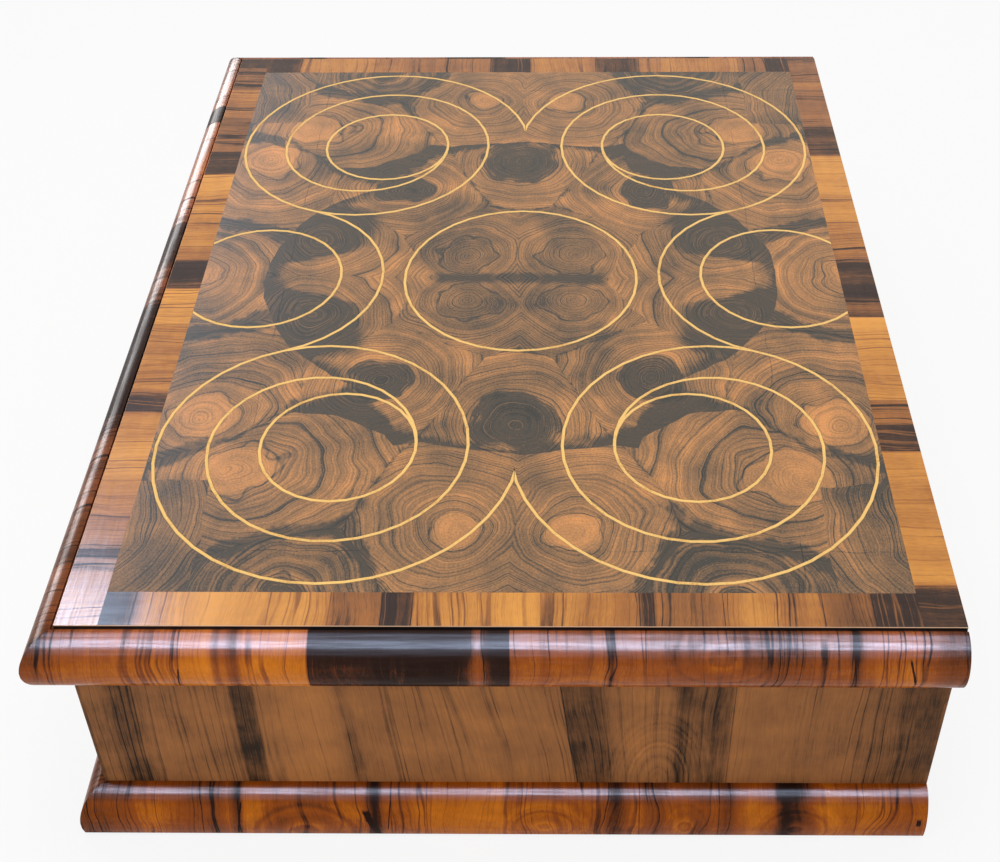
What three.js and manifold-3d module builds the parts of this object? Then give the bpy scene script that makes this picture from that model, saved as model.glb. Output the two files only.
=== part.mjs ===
// A veneered lace box with a hinged lid, as a bench assembly of its separate pieces.
// Millimetres. X runs along the box, Y from the front (-Y) to the back (+Y), Z is up.
// The origin is the centre of the underside, on the baize.
import * as THREE from 'three';
import { mergeVertices } from 'three/addons/utils/BufferGeometryUtils.js';
import Module from 'manifold-3d';

const wasm = await Module();
wasm.setup();

// Overall sizes
const LID_LENGTH = 528;
const LID_DEPTH = 415;
const BOX_HEIGHT = 150;

// Clearances
const FIT_CLEARANCE = 0.15;
const RUNNING_CLEARANCE = 0.4;
const MITRE_GAP = 0.2;
const LID_GAP = 0.3;
const LIP_CLEARANCE = 0.6;
const CUT_OVERRUN = 5;

// Case
const BOARD_THICKNESS = 16;
const BOTTOM_THICKNESS = 12;
const SIDE_VENEER_THICKNESS = 1.6;
const BAIZE_THICKNESS = 1.5;
const BAIZE_INSET = 1.5;
const LINING_THICKNESS = 0.8;
const LINING_DROP = 2;
const TAIL_COUNT = 4;
const TAIL_WIDTH_SHARE = 0.62;
const TAIL_FLARE_SHARE = 0.1;

// Lid
const LID_BOARD_THICKNESS = 17.7;
const LID_VENEER_THICKNESS = 1.8;
const CLAMP_WIDTH = 46;
const TONGUE_LENGTH = 10;
const TONGUE_THICKNESS = 6;
const LID_LINING_MARGIN = 3;
const LID_OPEN_DEGREES = 100;

// Veneer pattern of the lid: crossbanding, and stringing let into the oyster field
const CROSSBAND_WIDTH = 20;
const STRING_WIDTH = 1.6;
const STRING_DEPTH = 1.2;
const CHORD_SAG = 0.25;
const SCROLL_END_MARGIN = 5.3;
const SCROLL_SIDE_MARGIN = 2.3;
const BOW_INSET = 33.8;
const OUTER_TURN_DEPTH_SHARE = 0.507;
const OUTER_TURN_LENGTH_SHARE = 0.394;
const TURN_STEP_SHARE = 0.1427;
const BOW_SPREAD_SHARE = 0.392;
const SIDE_RING_SHARE = 0.659;
const CENTRE_RING_BOW_SHARE = 0.839;
const CENTRE_RING_SCROLL_SHARE = 0.695;

// Mouldings: cushions that are part of an ellipse in section
const LID_MOULDING_HEIGHT = 27.3;
const LID_MOULDING_REACH = 15.1;
const LID_MOULDING_DROP = 1.2;
const BASE_MOULDING_HEIGHT = 27.5;
const BASE_MOULDING_REACH = 13.2;
const LID_MOULDING_WIDEST_SHARE = 0.6;
const BASE_MOULDING_WIDEST_SHARE = 0.73;
const QUIRK_WIDTH = 1.5;
const QUIRK_DEPTH = 1.4;
const BASE_SHOULDER = 0.8;
const CUSHION_STEPS = 18;

// Hinges
const HINGE_SETBACK = 5.5;
const HINGE_CLAMP_MARGIN = 18;
const HINGE_LENGTH = 60;
const HINGE_LEAF_REACH = 11;
const HINGE_LEAF_THICKNESS = 1.6;
const KNUCKLE_RADIUS = 3.2;
const KNUCKLE_COUNT = 5;
const HINGE_PIN_RADIUS = 1.4;
const HINGE_SCREW_SPACING = 36;
const ROUND_SIDES = 16;

// Lock, key and their fittings
const LOCK_LENGTH = 64;
const LOCK_HEIGHT = 41;
const LOCK_DEPTH = 12.5;
const LOCK_PLATE_THICKNESS = 1.5;
const BOLT_LENGTH = 40;
const BOLT_HEIGHT = 9;
const BOLT_THICKNESS = 3;
const BOLT_TRAVEL = 8;
const BOLT_TOP_DROP = 8.2;
const BOLT_NOSE_GAP = 2;
const BOLT_GUIDE_THICKNESS = 2;
const BOLT_GUIDE_GAP = 0.3;
const TAIL_GUIDE_LENGTH = 12;
const NOSE_GUIDE_LENGTH = 3.6;
const NOTCH_WIDTH = 19;
const NOTCH_HEIGHT = 4.5;
const STAPLE_LENGTH = 4;
const STAPLE_WALL = 2;
const STAPLE_FOOT = 3.2;
const LINK_LENGTH = 50;
const LINK_WIDTH = 11;
const LINK_THICKNESS = 1.5;
const LINK_SCREW_SPACING = 36;
const LOCK_SCREW_MARGIN = 5;
const KEY_BOLT_DISTANCE = 7;
const KEY_SHANK_RADIUS = 2.6;
const KEY_BORE_RADIUS = 1.5;
const DRILL_PIN_RADIUS = 1.2;
const DRILL_PIN_LENGTH = 10;
const KEY_BORE_DEPTH = 12;
const KEY_BIT_RADIUS = 10;
const KEY_BIT_THICKNESS = 2.4;
const KEY_BIT_WIDTH = 5.4;
const KEY_COLLAR_RADIUS = 3.8;
const KEY_COLLAR_LENGTH = 2.5;
const KEY_COLLAR_GAP = 1.2;
const KEY_NECK = 4.5;
const KEY_BOW_LENGTH = 16;
const KEY_BOW_HEIGHT = 18;
const KEY_BOW_RIM = 3.2;
const KEY_BOW_THICKNESS = 3;
const KEYHOLE_CLEARANCE = 0.5;
const ESCUTCHEON_WIDTH = 24;
const ESCUTCHEON_HEIGHT = 34;
const ESCUTCHEON_THICKNESS = 1.2;
const ESCUTCHEON_PIN_SPACING = 27;
const PIN_SHANK_RADIUS = 0.7;
const PIN_SHANK_LENGTH = 7;
const PIN_HEAD_RADIUS = 1.3;
const PIN_HEAD_HEIGHT = 0.8;

// Countersunk slotted screws
const SCREW_HEAD_RADIUS = 2.3;
const SCREW_HEAD_HEIGHT = 1.3;
const SCREW_SHANK_RADIUS = 1.2;
const SCREW_LENGTH = 9;
const SCREW_POINT = 2;
const SCREW_SLOT_WIDTH = 0.6;
const SCREW_SLOT_DEPTH = 0.5;
const SCREW_CLEARANCE = 0.1;
const SCREW_SIDES = 8;

// Planes that the pieces share
const LID_X = LID_LENGTH / 2;
const LID_Y = LID_DEPTH / 2;
const CASE_X = LID_X - LIP_CLEARANCE;
const CASE_FRONT_Y = -LID_Y + LIP_CLEARANCE;
const BOARD_X = CASE_X - SIDE_VENEER_THICKNESS;
const BOARD_FRONT_Y = CASE_FRONT_Y + SIDE_VENEER_THICKNESS;
const BOARD_BACK_Y = LID_Y - SIDE_VENEER_THICKNESS;
const INNER_X = BOARD_X - BOARD_THICKNESS;
const INNER_FRONT_Y = BOARD_FRONT_Y + BOARD_THICKNESS;
const INNER_BACK_Y = BOARD_BACK_Y - BOARD_THICKNESS;
const BOTTOM_TOP_Z = BAIZE_THICKNESS + BOTTOM_THICKNESS;
const BASE_TOP_Z = BAIZE_THICKNESS + BASE_MOULDING_HEIGHT;
const LID_BOARD_TOP_Z = BOX_HEIGHT - LID_VENEER_THICKNESS;
const LID_UNDER_Z = LID_BOARD_TOP_Z - LID_BOARD_THICKNESS;
const RIM_Z = LID_UNDER_Z - LID_GAP;
const HINGE_Y = LID_Y - HINGE_SETBACK;
const HINGE_Z = (RIM_Z + LID_UNDER_Z) / 2;
const BEVEL_ANGLE = THREE.MathUtils.degToRad(LID_OPEN_DEGREES / 2);
const KNUCKLE_ROOM = KNUCKLE_RADIUS + RUNNING_CLEARANCE;
const PIN_BORE_RADIUS = HINGE_PIN_RADIUS + FIT_CLEARANCE;

// Places in the lock, from the key's axis at X 0
const BOLT_TOP_Z = RIM_Z - BOLT_TOP_DROP;
const BOLT_BOTTOM_Z = BOLT_TOP_Z - BOLT_HEIGHT;
const KEY_Z = BOLT_BOTTOM_Z - KEY_BOLT_DISTANCE;
const NOTCH_END_X = (NOTCH_WIDTH - BOLT_TRAVEL) / 2;
const BOLT_NOSE_X = NOTCH_END_X + KEY_BIT_RADIUS - BOLT_NOSE_GAP / 2;
const BOLT_TAIL_X = BOLT_NOSE_X - BOLT_LENGTH;
const STAPLE_X = BOLT_NOSE_X + BOLT_NOSE_GAP;
const PLATE_FACE_Y = INNER_FRONT_Y - LOCK_PLATE_THICKNESS;
const POCKET_Y = INNER_FRONT_Y - LOCK_DEPTH;
const BOLT_Y = (PLATE_FACE_Y + POCKET_Y) / 2;
const STAPLE_ROOM = BOLT_THICKNESS / 2 + RUNNING_CLEARANCE;
const STAPLE_HALF = STAPLE_ROOM + STAPLE_WALL;
const LOCK_FLOOR_Z = RIM_Z - LOCK_HEIGHT;

// Turns a section drawn in two axes so that it runs along the third: x takes (y, z) points,
// y takes (z, x) points and z takes (x, y) points.
const RUN_ALONG = {
  x: new THREE.Matrix4().set(0, 0, 1, 0, 1, 0, 0, 0, 0, 1, 0, 0, 0, 0, 0, 1),
  y: new THREE.Matrix4().set(0, 1, 0, 0, 0, 0, 1, 0, 1, 0, 0, 0, 0, 0, 0, 1),
  z: new THREE.Matrix4(),
};

function solid(geometry) {
  const plain = geometry.clone();
  plain.deleteAttribute('normal');
  plain.deleteAttribute('uv');
  const merged = mergeVertices(plain);
  return new wasm.Manifold(new wasm.Mesh({
    numProp: 3,
    vertProperties: new Float32Array(merged.attributes.position.array),
    triVerts: new Uint32Array(merged.index.array),
  }));
}

function surface(body) {
  const mesh = body.getMesh();
  const geometry = new THREE.BufferGeometry();
  geometry.setAttribute('position', new THREE.BufferAttribute(new Float32Array(mesh.vertProperties), 3));
  geometry.setIndex(new THREE.BufferAttribute(new Uint32Array(mesh.triVerts), 1));
  geometry.computeVertexNormals();
  return geometry;
}

// Sets each corner of a unit box to the exact planes, so that pieces meet face to face
function block(low, high) {
  const geometry = new THREE.BoxGeometry(1, 1, 1);
  const corners = geometry.attributes.position;
  for (let index = 0; index < corners.array.length; index += 1) {
    const axis = index % 3;
    corners.array[index] = corners.array[index] < 0 ? low[axis] : high[axis];
  }
  return solid(geometry);
}

function outline(points) {
  return points.map(([u, v]) => new THREE.Vector2(u, v));
}

function prism(points, axis, from, to, holes = []) {
  const shape = new THREE.Shape(outline(points));
  shape.holes = holes.map((hole) => new THREE.Path(outline(hole)));
  const geometry = new THREE.ExtrudeGeometry(shape, { depth: 1, bevelEnabled: false });
  const corners = geometry.attributes.position;
  for (let index = 0; index < corners.count; index += 1) {
    corners.setZ(index, corners.getZ(index) > 0 ? to : from);
  }
  geometry.applyMatrix4(RUN_ALONG[axis]);
  return solid(geometry);
}

function oval(u, v, radiusU, radiusV, sides) {
  return Array.from({ length: sides }, (_, side) => {
    const angle = (2 * Math.PI * side) / sides;
    return [u + radiusU * Math.cos(angle), v + radiusV * Math.sin(angle)];
  });
}

function rod(axis, centre, radius, from, to, sides = ROUND_SIDES) {
  return prism(oval(...centre, radius, radius, sides), axis, from, to);
}

function join(bodies) {
  return bodies.reduce((whole, body) => whole.add(body));
}

function cut(body, tools) {
  return tools.reduce((rest, tool) => rest.subtract(tool), body);
}

// Mouldings

function cushion(backReach, shoulder, topZ, height, widestShare, reach, quirkDepth) {
  const widestZ = topZ - widestShare * height;
  const bottomZ = topZ - height;
  const rise = topZ - widestZ;
  const lastAngle = -Math.asin((widestZ - bottomZ) / rise);
  const points = [[-backReach, bottomZ], [-backReach, topZ - quirkDepth]];
  for (let step = 0; step <= CUSHION_STEPS; step += 1) {
    const angle = Math.PI / 2 + (lastAngle - Math.PI / 2) * (step / CUSHION_STEPS);
    points.push([shoulder + (reach - shoulder) * Math.cos(angle), widestZ + rise * Math.sin(angle)]);
  }
  return points;
}

// Three mitred lengths round the front and the ends, sawn off flush with the back
function mouldings(profile, faceX, frontY, reach) {
  const out = reach + CUT_OVERRUN;
  const runX = faceX + out;
  const low = Math.min(...profile.map(([, z]) => z)) - CUT_OVERRUN;
  const high = Math.max(...profile.map(([, z]) => z)) + CUT_OVERRUN;
  const gap = MITRE_GAP / Math.SQRT2;
  const frontPlan = [
    [-faceX - out, frontY - out - gap], [faceX + out, frontY - out - gap],
    [faceX - CUT_OVERRUN, frontY + CUT_OVERRUN - gap], [-faceX + CUT_OVERRUN, frontY + CUT_OVERRUN - gap],
  ];
  const front = prism(profile.map(([p, z]) => [frontY - p, z]), 'x', -runX, runX);
  const pieces = { front: front.intersect(prism(frontPlan, 'z', low, high)) };
  for (const [name, side] of [['left', -1], ['right', 1]]) {
    const endPlan = [
      [side * (faceX - CUT_OVERRUN), frontY + CUT_OVERRUN], [side * (faceX + out), frontY - out],
      [side * (faceX + out), LID_Y], [side * (faceX - CUT_OVERRUN), LID_Y],
    ];
    const end = prism(profile.map(([p, z]) => [z, side * (faceX + p)]), 'y', frontY - out, LID_Y);
    pieces[name] = end.intersect(prism(endPlan, 'z', low, high));
  }
  return pieces;
}

const LID_CUSHION = cushion(
  0, QUIRK_WIDTH, BOX_HEIGHT - LID_MOULDING_DROP, LID_MOULDING_HEIGHT, LID_MOULDING_WIDEST_SHARE,
  LID_MOULDING_REACH, QUIRK_DEPTH);
const BASE_CUSHION = cushion(
  SIDE_VENEER_THICKNESS, BASE_SHOULDER, BASE_TOP_Z, BASE_MOULDING_HEIGHT, BASE_MOULDING_WIDEST_SHARE,
  BASE_MOULDING_REACH, 0);

// Screws stand on the origin with their heads' faces at Z 0 and their points down

function screwTool(clearance) {
  const head = SCREW_HEAD_RADIUS + clearance;
  const shank = SCREW_SHANK_RADIUS + clearance;
  const length = SCREW_LENGTH + clearance;
  const profile = outline([
    [0, -length], [shank, -length + SCREW_POINT], [shank, -SCREW_HEAD_HEIGHT], [head, 0], [0, 0],
  ]);
  const geometry = new THREE.LatheGeometry(profile, SCREW_SIDES);
  geometry.rotateX(Math.PI / 2);
  return geometry;
}

function screwShape() {
  const slot = block(
    [-SCREW_HEAD_RADIUS, -SCREW_SLOT_WIDTH / 2, -SCREW_SLOT_DEPTH],
    [SCREW_HEAD_RADIUS, SCREW_SLOT_WIDTH / 2, SCREW_SLOT_DEPTH]);
  return surface(solid(screwTool(0)).subtract(slot));
}

// Places a copy of a screw or of its hole: the head faces along the given direction
function placed(geometry, point, facing) {
  const turn = new THREE.Quaternion().setFromUnitVectors(new THREE.Vector3(0, 0, 1), facing);
  const copy = geometry.clone();
  copy.applyQuaternion(turn);
  copy.translate(...point);
  return solid(copy);
}

const SCREW = screwShape();
const SCREW_HOLE = screwTool(SCREW_CLEARANCE);
const UP = new THREE.Vector3(0, 0, 1);
const DOWN = new THREE.Vector3(0, 0, -1);
const INWARD = new THREE.Vector3(0, 1, 0);

function screwHoles(points, facing) {
  return points.map((point) => placed(SCREW_HOLE, point, facing));
}

// Hinges

const CLAMP_X = LID_X - CLAMP_WIDTH;
const HINGE_X = CLAMP_X - HINGE_CLAMP_MARGIN - HINGE_LENGTH / 2;
const HINGES = [['left', -HINGE_X], ['right', HINGE_X]];

function hingeScrewPoints(centreX, z) {
  const y = HINGE_Y - (HINGE_LEAF_REACH + KNUCKLE_ROOM) / 2;
  return [-1, 1].map((side) => [centreX + side * (HINGE_SCREW_SPACING / 2), y, z]);
}

// The leaf's plate lies between its own face and a face one thickness away from the joint line
function hingeLeaf(centreX, faceZ, backZ, firstKnuckle, facing) {
  const startX = centreX - HINGE_LENGTH / 2;
  const pitch = HINGE_LENGTH / KNUCKLE_COUNT;
  const low = Math.min(faceZ, backZ);
  const high = Math.max(faceZ, backZ);
  const leaf = [block(
    [startX, HINGE_Y - HINGE_LEAF_REACH, low],
    [startX + HINGE_LENGTH, HINGE_Y - KNUCKLE_ROOM, high])];
  for (let index = firstKnuckle; index < KNUCKLE_COUNT; index += 2) {
    const from = startX + index * pitch + FIT_CLEARANCE;
    const to = startX + (index + 1) * pitch - FIT_CLEARANCE;
    leaf.push(rod('x', [HINGE_Y, HINGE_Z], KNUCKLE_RADIUS, from, to));
    leaf.push(block([from, HINGE_Y - HINGE_LEAF_REACH, low], [to, HINGE_Y, high]));
  }
  const bore = rod('x', [HINGE_Y, HINGE_Z], PIN_BORE_RADIUS, startX - CUT_OVERRUN,
    startX + HINGE_LENGTH + CUT_OVERRUN);
  return cut(join(leaf), [bore, ...screwHoles(hingeScrewPoints(centreX, faceZ), facing)]);
}

function hingePin(centreX) {
  const half = HINGE_LENGTH / 2;
  return rod('x', [HINGE_Y, HINGE_Z], HINGE_PIN_RADIUS, centreX - half, centreX + half);
}

// Recesses for both leaves and the knuckles, cut in the rim of the case and in the lid
function hingeRecesses(leafSide) {
  const backZ = leafSide < 0 ? RIM_Z - HINGE_LEAF_THICKNESS : LID_UNDER_Z + HINGE_LEAF_THICKNESS;
  return HINGES.flatMap(([, centreX]) => {
    const startX = centreX - HINGE_LENGTH / 2 - FIT_CLEARANCE;
    const endX = centreX + HINGE_LENGTH / 2 + FIT_CLEARANCE;
    const mouthZ = HINGE_Z - leafSide * CUT_OVERRUN;
    const leafY = HINGE_Y - HINGE_LEAF_REACH - FIT_CLEARANCE;
    const roomZ = HINGE_Z + leafSide * KNUCKLE_ROOM;
    const boxes = [[leafY, backZ], [HINGE_Y - KNUCKLE_ROOM, roomZ]].map(([y, z]) => block(
      [startX, y, Math.min(z, mouthZ)], [endX, LID_Y + CUT_OVERRUN, Math.max(z, mouthZ)]));
    const points = hingeScrewPoints(centreX, leafSide < 0 ? RIM_Z : LID_UNDER_Z);
    return [...boxes, ...screwHoles(points, leafSide < 0 ? UP : DOWN)];
  });
}

// The back edges of the case and the lid are bevelled: the bevels meet and stop the open lid
function backBevel(leafSide) {
  const faceZ = leafSide < 0 ? RIM_Z : LID_UNDER_Z;
  const depth = HINGE_SETBACK + CUT_OVERRUN;
  const points = [
    [HINGE_Y, faceZ], [HINGE_Y + depth, faceZ + leafSide * depth * Math.tan(BEVEL_ANGLE)],
    [HINGE_Y + depth, faceZ - leafSide * depth], [HINGE_Y, faceZ - leafSide * depth],
  ];
  return prism(points, 'x', -LID_X - CUT_OVERRUN, LID_X + CUT_OVERRUN);
}

// Case boards, dovetailed at the corners

function tails(side, frontY, backY, clearance) {
  const pitch = (RIM_Z - BOTTOM_TOP_Z) / TAIL_COUNT;
  const root = (pitch * (TAIL_WIDTH_SHARE - TAIL_FLARE_SHARE)) / 2 + clearance;
  const tip = (pitch * (TAIL_WIDTH_SHARE + TAIL_FLARE_SHARE)) / 2 + clearance;
  const inner = side * (INNER_X - CUT_OVERRUN);
  return Array.from({ length: TAIL_COUNT }, (_, index) => {
    const z = BOTTOM_TOP_Z + pitch * (index + 1 / 2);
    const points = [
      [z - root, inner], [z - root, side * INNER_X], [z - tip, side * BOARD_X],
      [z + tip, side * BOARD_X], [z + root, side * INNER_X], [z + root, inner],
    ];
    return prism(points, 'y', frontY, backY);
  });
}

function longBoard(frontY, backY) {
  const body = block([-INNER_X, frontY, BOTTOM_TOP_Z], [INNER_X, backY, RIM_Z]);
  return join([body, ...tails(-1, frontY, backY, 0), ...tails(1, frontY, backY, 0)]);
}

function endBoard(side) {
  const xs = [side * INNER_X, side * BOARD_X].sort((a, b) => a - b);
  const body = block([xs[0], BOARD_FRONT_Y, BOTTOM_TOP_Z], [xs[1], BOARD_BACK_Y, RIM_Z]);
  const sockets = [
    ...tails(side, BOARD_FRONT_Y - CUT_OVERRUN, INNER_FRONT_Y + FIT_CLEARANCE, FIT_CLEARANCE),
    ...tails(side, INNER_BACK_Y - FIT_CLEARANCE, BOARD_BACK_Y + CUT_OVERRUN, FIT_CLEARANCE),
  ];
  return cut(body, [...sockets, backBevel(-1)]);
}

// Keyhole: a round hole for the shank over a slot for the bit
function keyhole(clearance) {
  const radius = KEY_SHANK_RADIUS + clearance;
  const half = KEY_BIT_THICKNESS / 2 + clearance;
  const from = CASE_FRONT_Y - ESCUTCHEON_THICKNESS - CUT_OVERRUN;
  const to = POCKET_Y + CUT_OVERRUN;
  const round = rod('y', [KEY_Z, 0], radius, from, to);
  const slot = block([-half, from, KEY_Z - KEY_BIT_RADIUS - clearance], [half, to, KEY_Z]);
  return round.add(slot);
}

function lockPocket() {
  return block(
    [-LOCK_LENGTH / 2 - FIT_CLEARANCE, POCKET_Y, LOCK_FLOOR_Z - FIT_CLEARANCE],
    [LOCK_LENGTH / 2 + FIT_CLEARANCE, INNER_FRONT_Y + CUT_OVERRUN, RIM_Z + CUT_OVERRUN]);
}

// The plate's screws go into the wood beside the pocket, through ears on the lock plate
function lockScrewPoints() {
  const x = LOCK_LENGTH / 2 + LOCK_SCREW_MARGIN;
  return [-x, x].map((px) => [px, INNER_FRONT_Y, RIM_Z - LOCK_HEIGHT / 2]);
}

function lockEars(clearance) {
  const x = LOCK_LENGTH / 2 + LOCK_SCREW_MARGIN * 2 + clearance;
  return block(
    [-x, PLATE_FACE_Y - clearance, LOCK_FLOOR_Z - clearance],
    [x, INNER_FRONT_Y + (clearance > 0 ? CUT_OVERRUN : 0), RIM_Z - LINING_DROP + clearance]);
}

function escutcheonPinPoints() {
  return [-1, 1].map((side) => [KEY_Z - KEY_SHANK_RADIUS + side * (ESCUTCHEON_PIN_SPACING / 2), 0]);
}

function escutcheonPinHoles() {
  const radius = PIN_SHANK_RADIUS + SCREW_CLEARANCE;
  const from = CASE_FRONT_Y - ESCUTCHEON_THICKNESS - CUT_OVERRUN;
  const to = CASE_FRONT_Y - ESCUTCHEON_THICKNESS + PIN_SHANK_LENGTH + SCREW_CLEARANCE;
  return escutcheonPinPoints().map((point) => rod('y', point, radius, from, to, SCREW_SIDES));
}

function frontBoard() {
  const tools = [
    lockPocket(), lockEars(FIT_CLEARANCE), keyhole(KEYHOLE_CLEARANCE),
    ...screwHoles(lockScrewPoints(), INWARD), ...escutcheonPinHoles(),
  ];
  return cut(longBoard(BOARD_FRONT_Y, INNER_FRONT_Y), tools);
}

function backBoard() {
  return cut(longBoard(INNER_BACK_Y, BOARD_BACK_Y), [backBevel(-1), ...hingeRecesses(-1)]);
}

function bottomBoard() {
  return block([-BOARD_X, BOARD_FRONT_Y, BAIZE_THICKNESS], [BOARD_X, BOARD_BACK_Y, BOTTOM_TOP_Z]);
}

function frontVeneer() {
  const sheet = block([-CASE_X, CASE_FRONT_Y, BASE_TOP_Z], [CASE_X, BOARD_FRONT_Y, RIM_Z]);
  return cut(sheet, [keyhole(KEYHOLE_CLEARANCE), ...escutcheonPinHoles()]);
}

// The back's veneer runs down between the ends of the base moulding
function backVeneer() {
  const upper = block([-CASE_X, BOARD_BACK_Y, BASE_TOP_Z], [CASE_X, LID_Y, RIM_Z]);
  const lower = block([-BOARD_X, BOARD_BACK_Y, BAIZE_THICKNESS], [BOARD_X, LID_Y, BASE_TOP_Z]);
  return cut(upper.add(lower), [backBevel(-1), ...hingeRecesses(-1)]);
}

function endVeneer(side) {
  const xs = [side * BOARD_X, side * CASE_X].sort((a, b) => a - b);
  const sheet = block([xs[0], BOARD_FRONT_Y, BASE_TOP_Z], [xs[1], BOARD_BACK_Y, RIM_Z]);
  return cut(sheet, [backBevel(-1)]);
}

function baize() {
  const [lastReach] = BASE_CUSHION[BASE_CUSHION.length - 1];
  const out = lastReach - BAIZE_INSET;
  return block([-CASE_X - out, CASE_FRONT_Y - out, 0], [CASE_X + out, LID_Y - BAIZE_INSET, BAIZE_THICKNESS]);
}

// The paper lining is glued to the floor and walls, and cut round the lock plate

function caseLining() {
  const topZ = RIM_Z - LINING_DROP;
  const paper = block([-INNER_X, INNER_FRONT_Y, BOTTOM_TOP_Z], [INNER_X, INNER_BACK_Y, topZ]);
  const inside = block(
    [-INNER_X + LINING_THICKNESS, INNER_FRONT_Y + LINING_THICKNESS, BOTTOM_TOP_Z + LINING_THICKNESS],
    [INNER_X - LINING_THICKNESS, INNER_BACK_Y - LINING_THICKNESS, topZ + CUT_OVERRUN]);
  return cut(paper, [inside, lockEars(RUNNING_CLEARANCE)]);
}

function lidLining() {
  const x = INNER_X - LID_LINING_MARGIN;
  return block(
    [-x, INNER_FRONT_Y + LID_LINING_MARGIN, LID_UNDER_Z - LINING_THICKNESS],
    [x, INNER_BACK_Y - LID_LINING_MARGIN, LID_UNDER_Z]);
}

// Lock, key and their fittings

function lockCase() {
  const halfX = LOCK_LENGTH / 2;
  const plate = block([-halfX, PLATE_FACE_Y, LOCK_FLOOR_Z], [halfX, INNER_FRONT_Y, RIM_Z]);
  const topLowZ = RIM_Z - LOCK_PLATE_THICKNESS;
  const top = block([-halfX, POCKET_Y + FIT_CLEARANCE, topLowZ], [halfX, INNER_FRONT_Y, RIM_Z]);
  const reachY = BOLT_Y - BOLT_THICKNESS / 2;
  const upper = [BOLT_TOP_Z + BOLT_GUIDE_GAP, BOLT_TOP_Z + BOLT_GUIDE_GAP + BOLT_GUIDE_THICKNESS];
  const lower = [BOLT_BOTTOM_Z - BOLT_GUIDE_GAP - BOLT_GUIDE_THICKNESS, BOLT_BOTTOM_Z - BOLT_GUIDE_GAP];
  const tailGuide = [BOLT_TAIL_X - BOLT_NOSE_GAP, BOLT_TAIL_X - BOLT_NOSE_GAP + TAIL_GUIDE_LENGTH];
  const noseGuide = [BOLT_NOSE_X - NOSE_GUIDE_LENGTH, BOLT_NOSE_X];
  const guides = [tailGuide, noseGuide].flatMap(([fromX, toX]) => [upper, lower].map(([fromZ, toZ]) => block(
    [fromX, reachY, fromZ], [toX, INNER_FRONT_Y, toZ])));
  const drillPin = rod('y', [KEY_Z, 0], DRILL_PIN_RADIUS, PLATE_FACE_Y - DRILL_PIN_LENGTH, INNER_FRONT_Y);
  const slotHalfY = STAPLE_HALF + RUNNING_CLEARANCE;
  const slotEndX = STAPLE_X + STAPLE_LENGTH + RUNNING_CLEARANCE;
  const slot = block(
    [STAPLE_X - RUNNING_CLEARANCE, BOLT_Y - slotHalfY, topLowZ - LOCK_PLATE_THICKNESS],
    [slotEndX, BOLT_Y + slotHalfY, RIM_Z + CUT_OVERRUN]);
  const metal = join([plate, top, lockEars(0), ...guides, drillPin]);
  return cut(metal, [slot, ...screwHoles(lockScrewPoints(), INWARD)]);
}

function lockBolt() {
  const half = BOLT_THICKNESS / 2;
  const bar = block([BOLT_TAIL_X, BOLT_Y - half, BOLT_BOTTOM_Z], [BOLT_NOSE_X, BOLT_Y + half, BOLT_TOP_Z]);
  const notch = block(
    [NOTCH_END_X - NOTCH_WIDTH, BOLT_Y - BOLT_THICKNESS, BOLT_BOTTOM_Z - CUT_OVERRUN],
    [NOTCH_END_X, BOLT_Y + BOLT_THICKNESS, BOLT_BOTTOM_Z + NOTCH_HEIGHT]);
  return bar.subtract(notch);
}

function key() {
  const tipY = PLATE_FACE_Y - RUNNING_CLEARANCE;
  const collarY = CASE_FRONT_Y - ESCUTCHEON_THICKNESS - KEY_COLLAR_GAP;
  const bowEndY = collarY - KEY_COLLAR_LENGTH - KEY_NECK;
  const bowY = bowEndY - KEY_BOW_LENGTH / 2;
  const shank = rod('y', [KEY_Z, 0], KEY_SHANK_RADIUS, bowEndY - KEY_BOW_RIM / 2, tipY);
  const collar = rod('y', [KEY_Z, 0], KEY_COLLAR_RADIUS, collarY - KEY_COLLAR_LENGTH, collarY);
  const bit = block(
    [-KEY_BIT_THICKNESS / 2, BOLT_Y - KEY_BIT_WIDTH / 2, KEY_Z - KEY_BIT_RADIUS],
    [KEY_BIT_THICKNESS / 2, BOLT_Y + KEY_BIT_WIDTH / 2, KEY_Z]);
  const bowOutline = (inset) => oval(
    bowY, KEY_Z, KEY_BOW_LENGTH / 2 - inset, KEY_BOW_HEIGHT / 2 - inset, ROUND_SIDES);
  const bowHalf = KEY_BOW_THICKNESS / 2;
  const bow = prism(bowOutline(0), 'x', -bowHalf, bowHalf, [bowOutline(KEY_BOW_RIM)]);
  const bore = rod('y', [KEY_Z, 0], KEY_BORE_RADIUS, tipY - KEY_BORE_DEPTH, tipY + CUT_OVERRUN);
  return join([shank, collar, bit, bow]).subtract(bore);
}

function escutcheon() {
  const centreZ = KEY_Z - KEY_SHANK_RADIUS;
  const plate = prism(
    oval(centreZ, 0, ESCUTCHEON_HEIGHT / 2, ESCUTCHEON_WIDTH / 2, ROUND_SIDES * 2), 'y',
    CASE_FRONT_Y - ESCUTCHEON_THICKNESS, CASE_FRONT_Y);
  return cut(plate, [keyhole(KEYHOLE_CLEARANCE), ...escutcheonPinHoles()]);
}

function escutcheonPin(point) {
  const faceY = CASE_FRONT_Y - ESCUTCHEON_THICKNESS;
  return join([
    rod('y', point, PIN_SHANK_RADIUS, faceY - PIN_HEAD_HEIGHT / 2, faceY + PIN_SHANK_LENGTH, SCREW_SIDES),
    rod('y', point, PIN_HEAD_RADIUS, faceY - PIN_HEAD_HEIGHT, faceY, SCREW_SIDES),
  ]);
}

// The link plate is let into the lid, and its staple hangs into the lock
function linkCentreX() {
  return STAPLE_X + STAPLE_LENGTH / 2;
}

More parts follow.
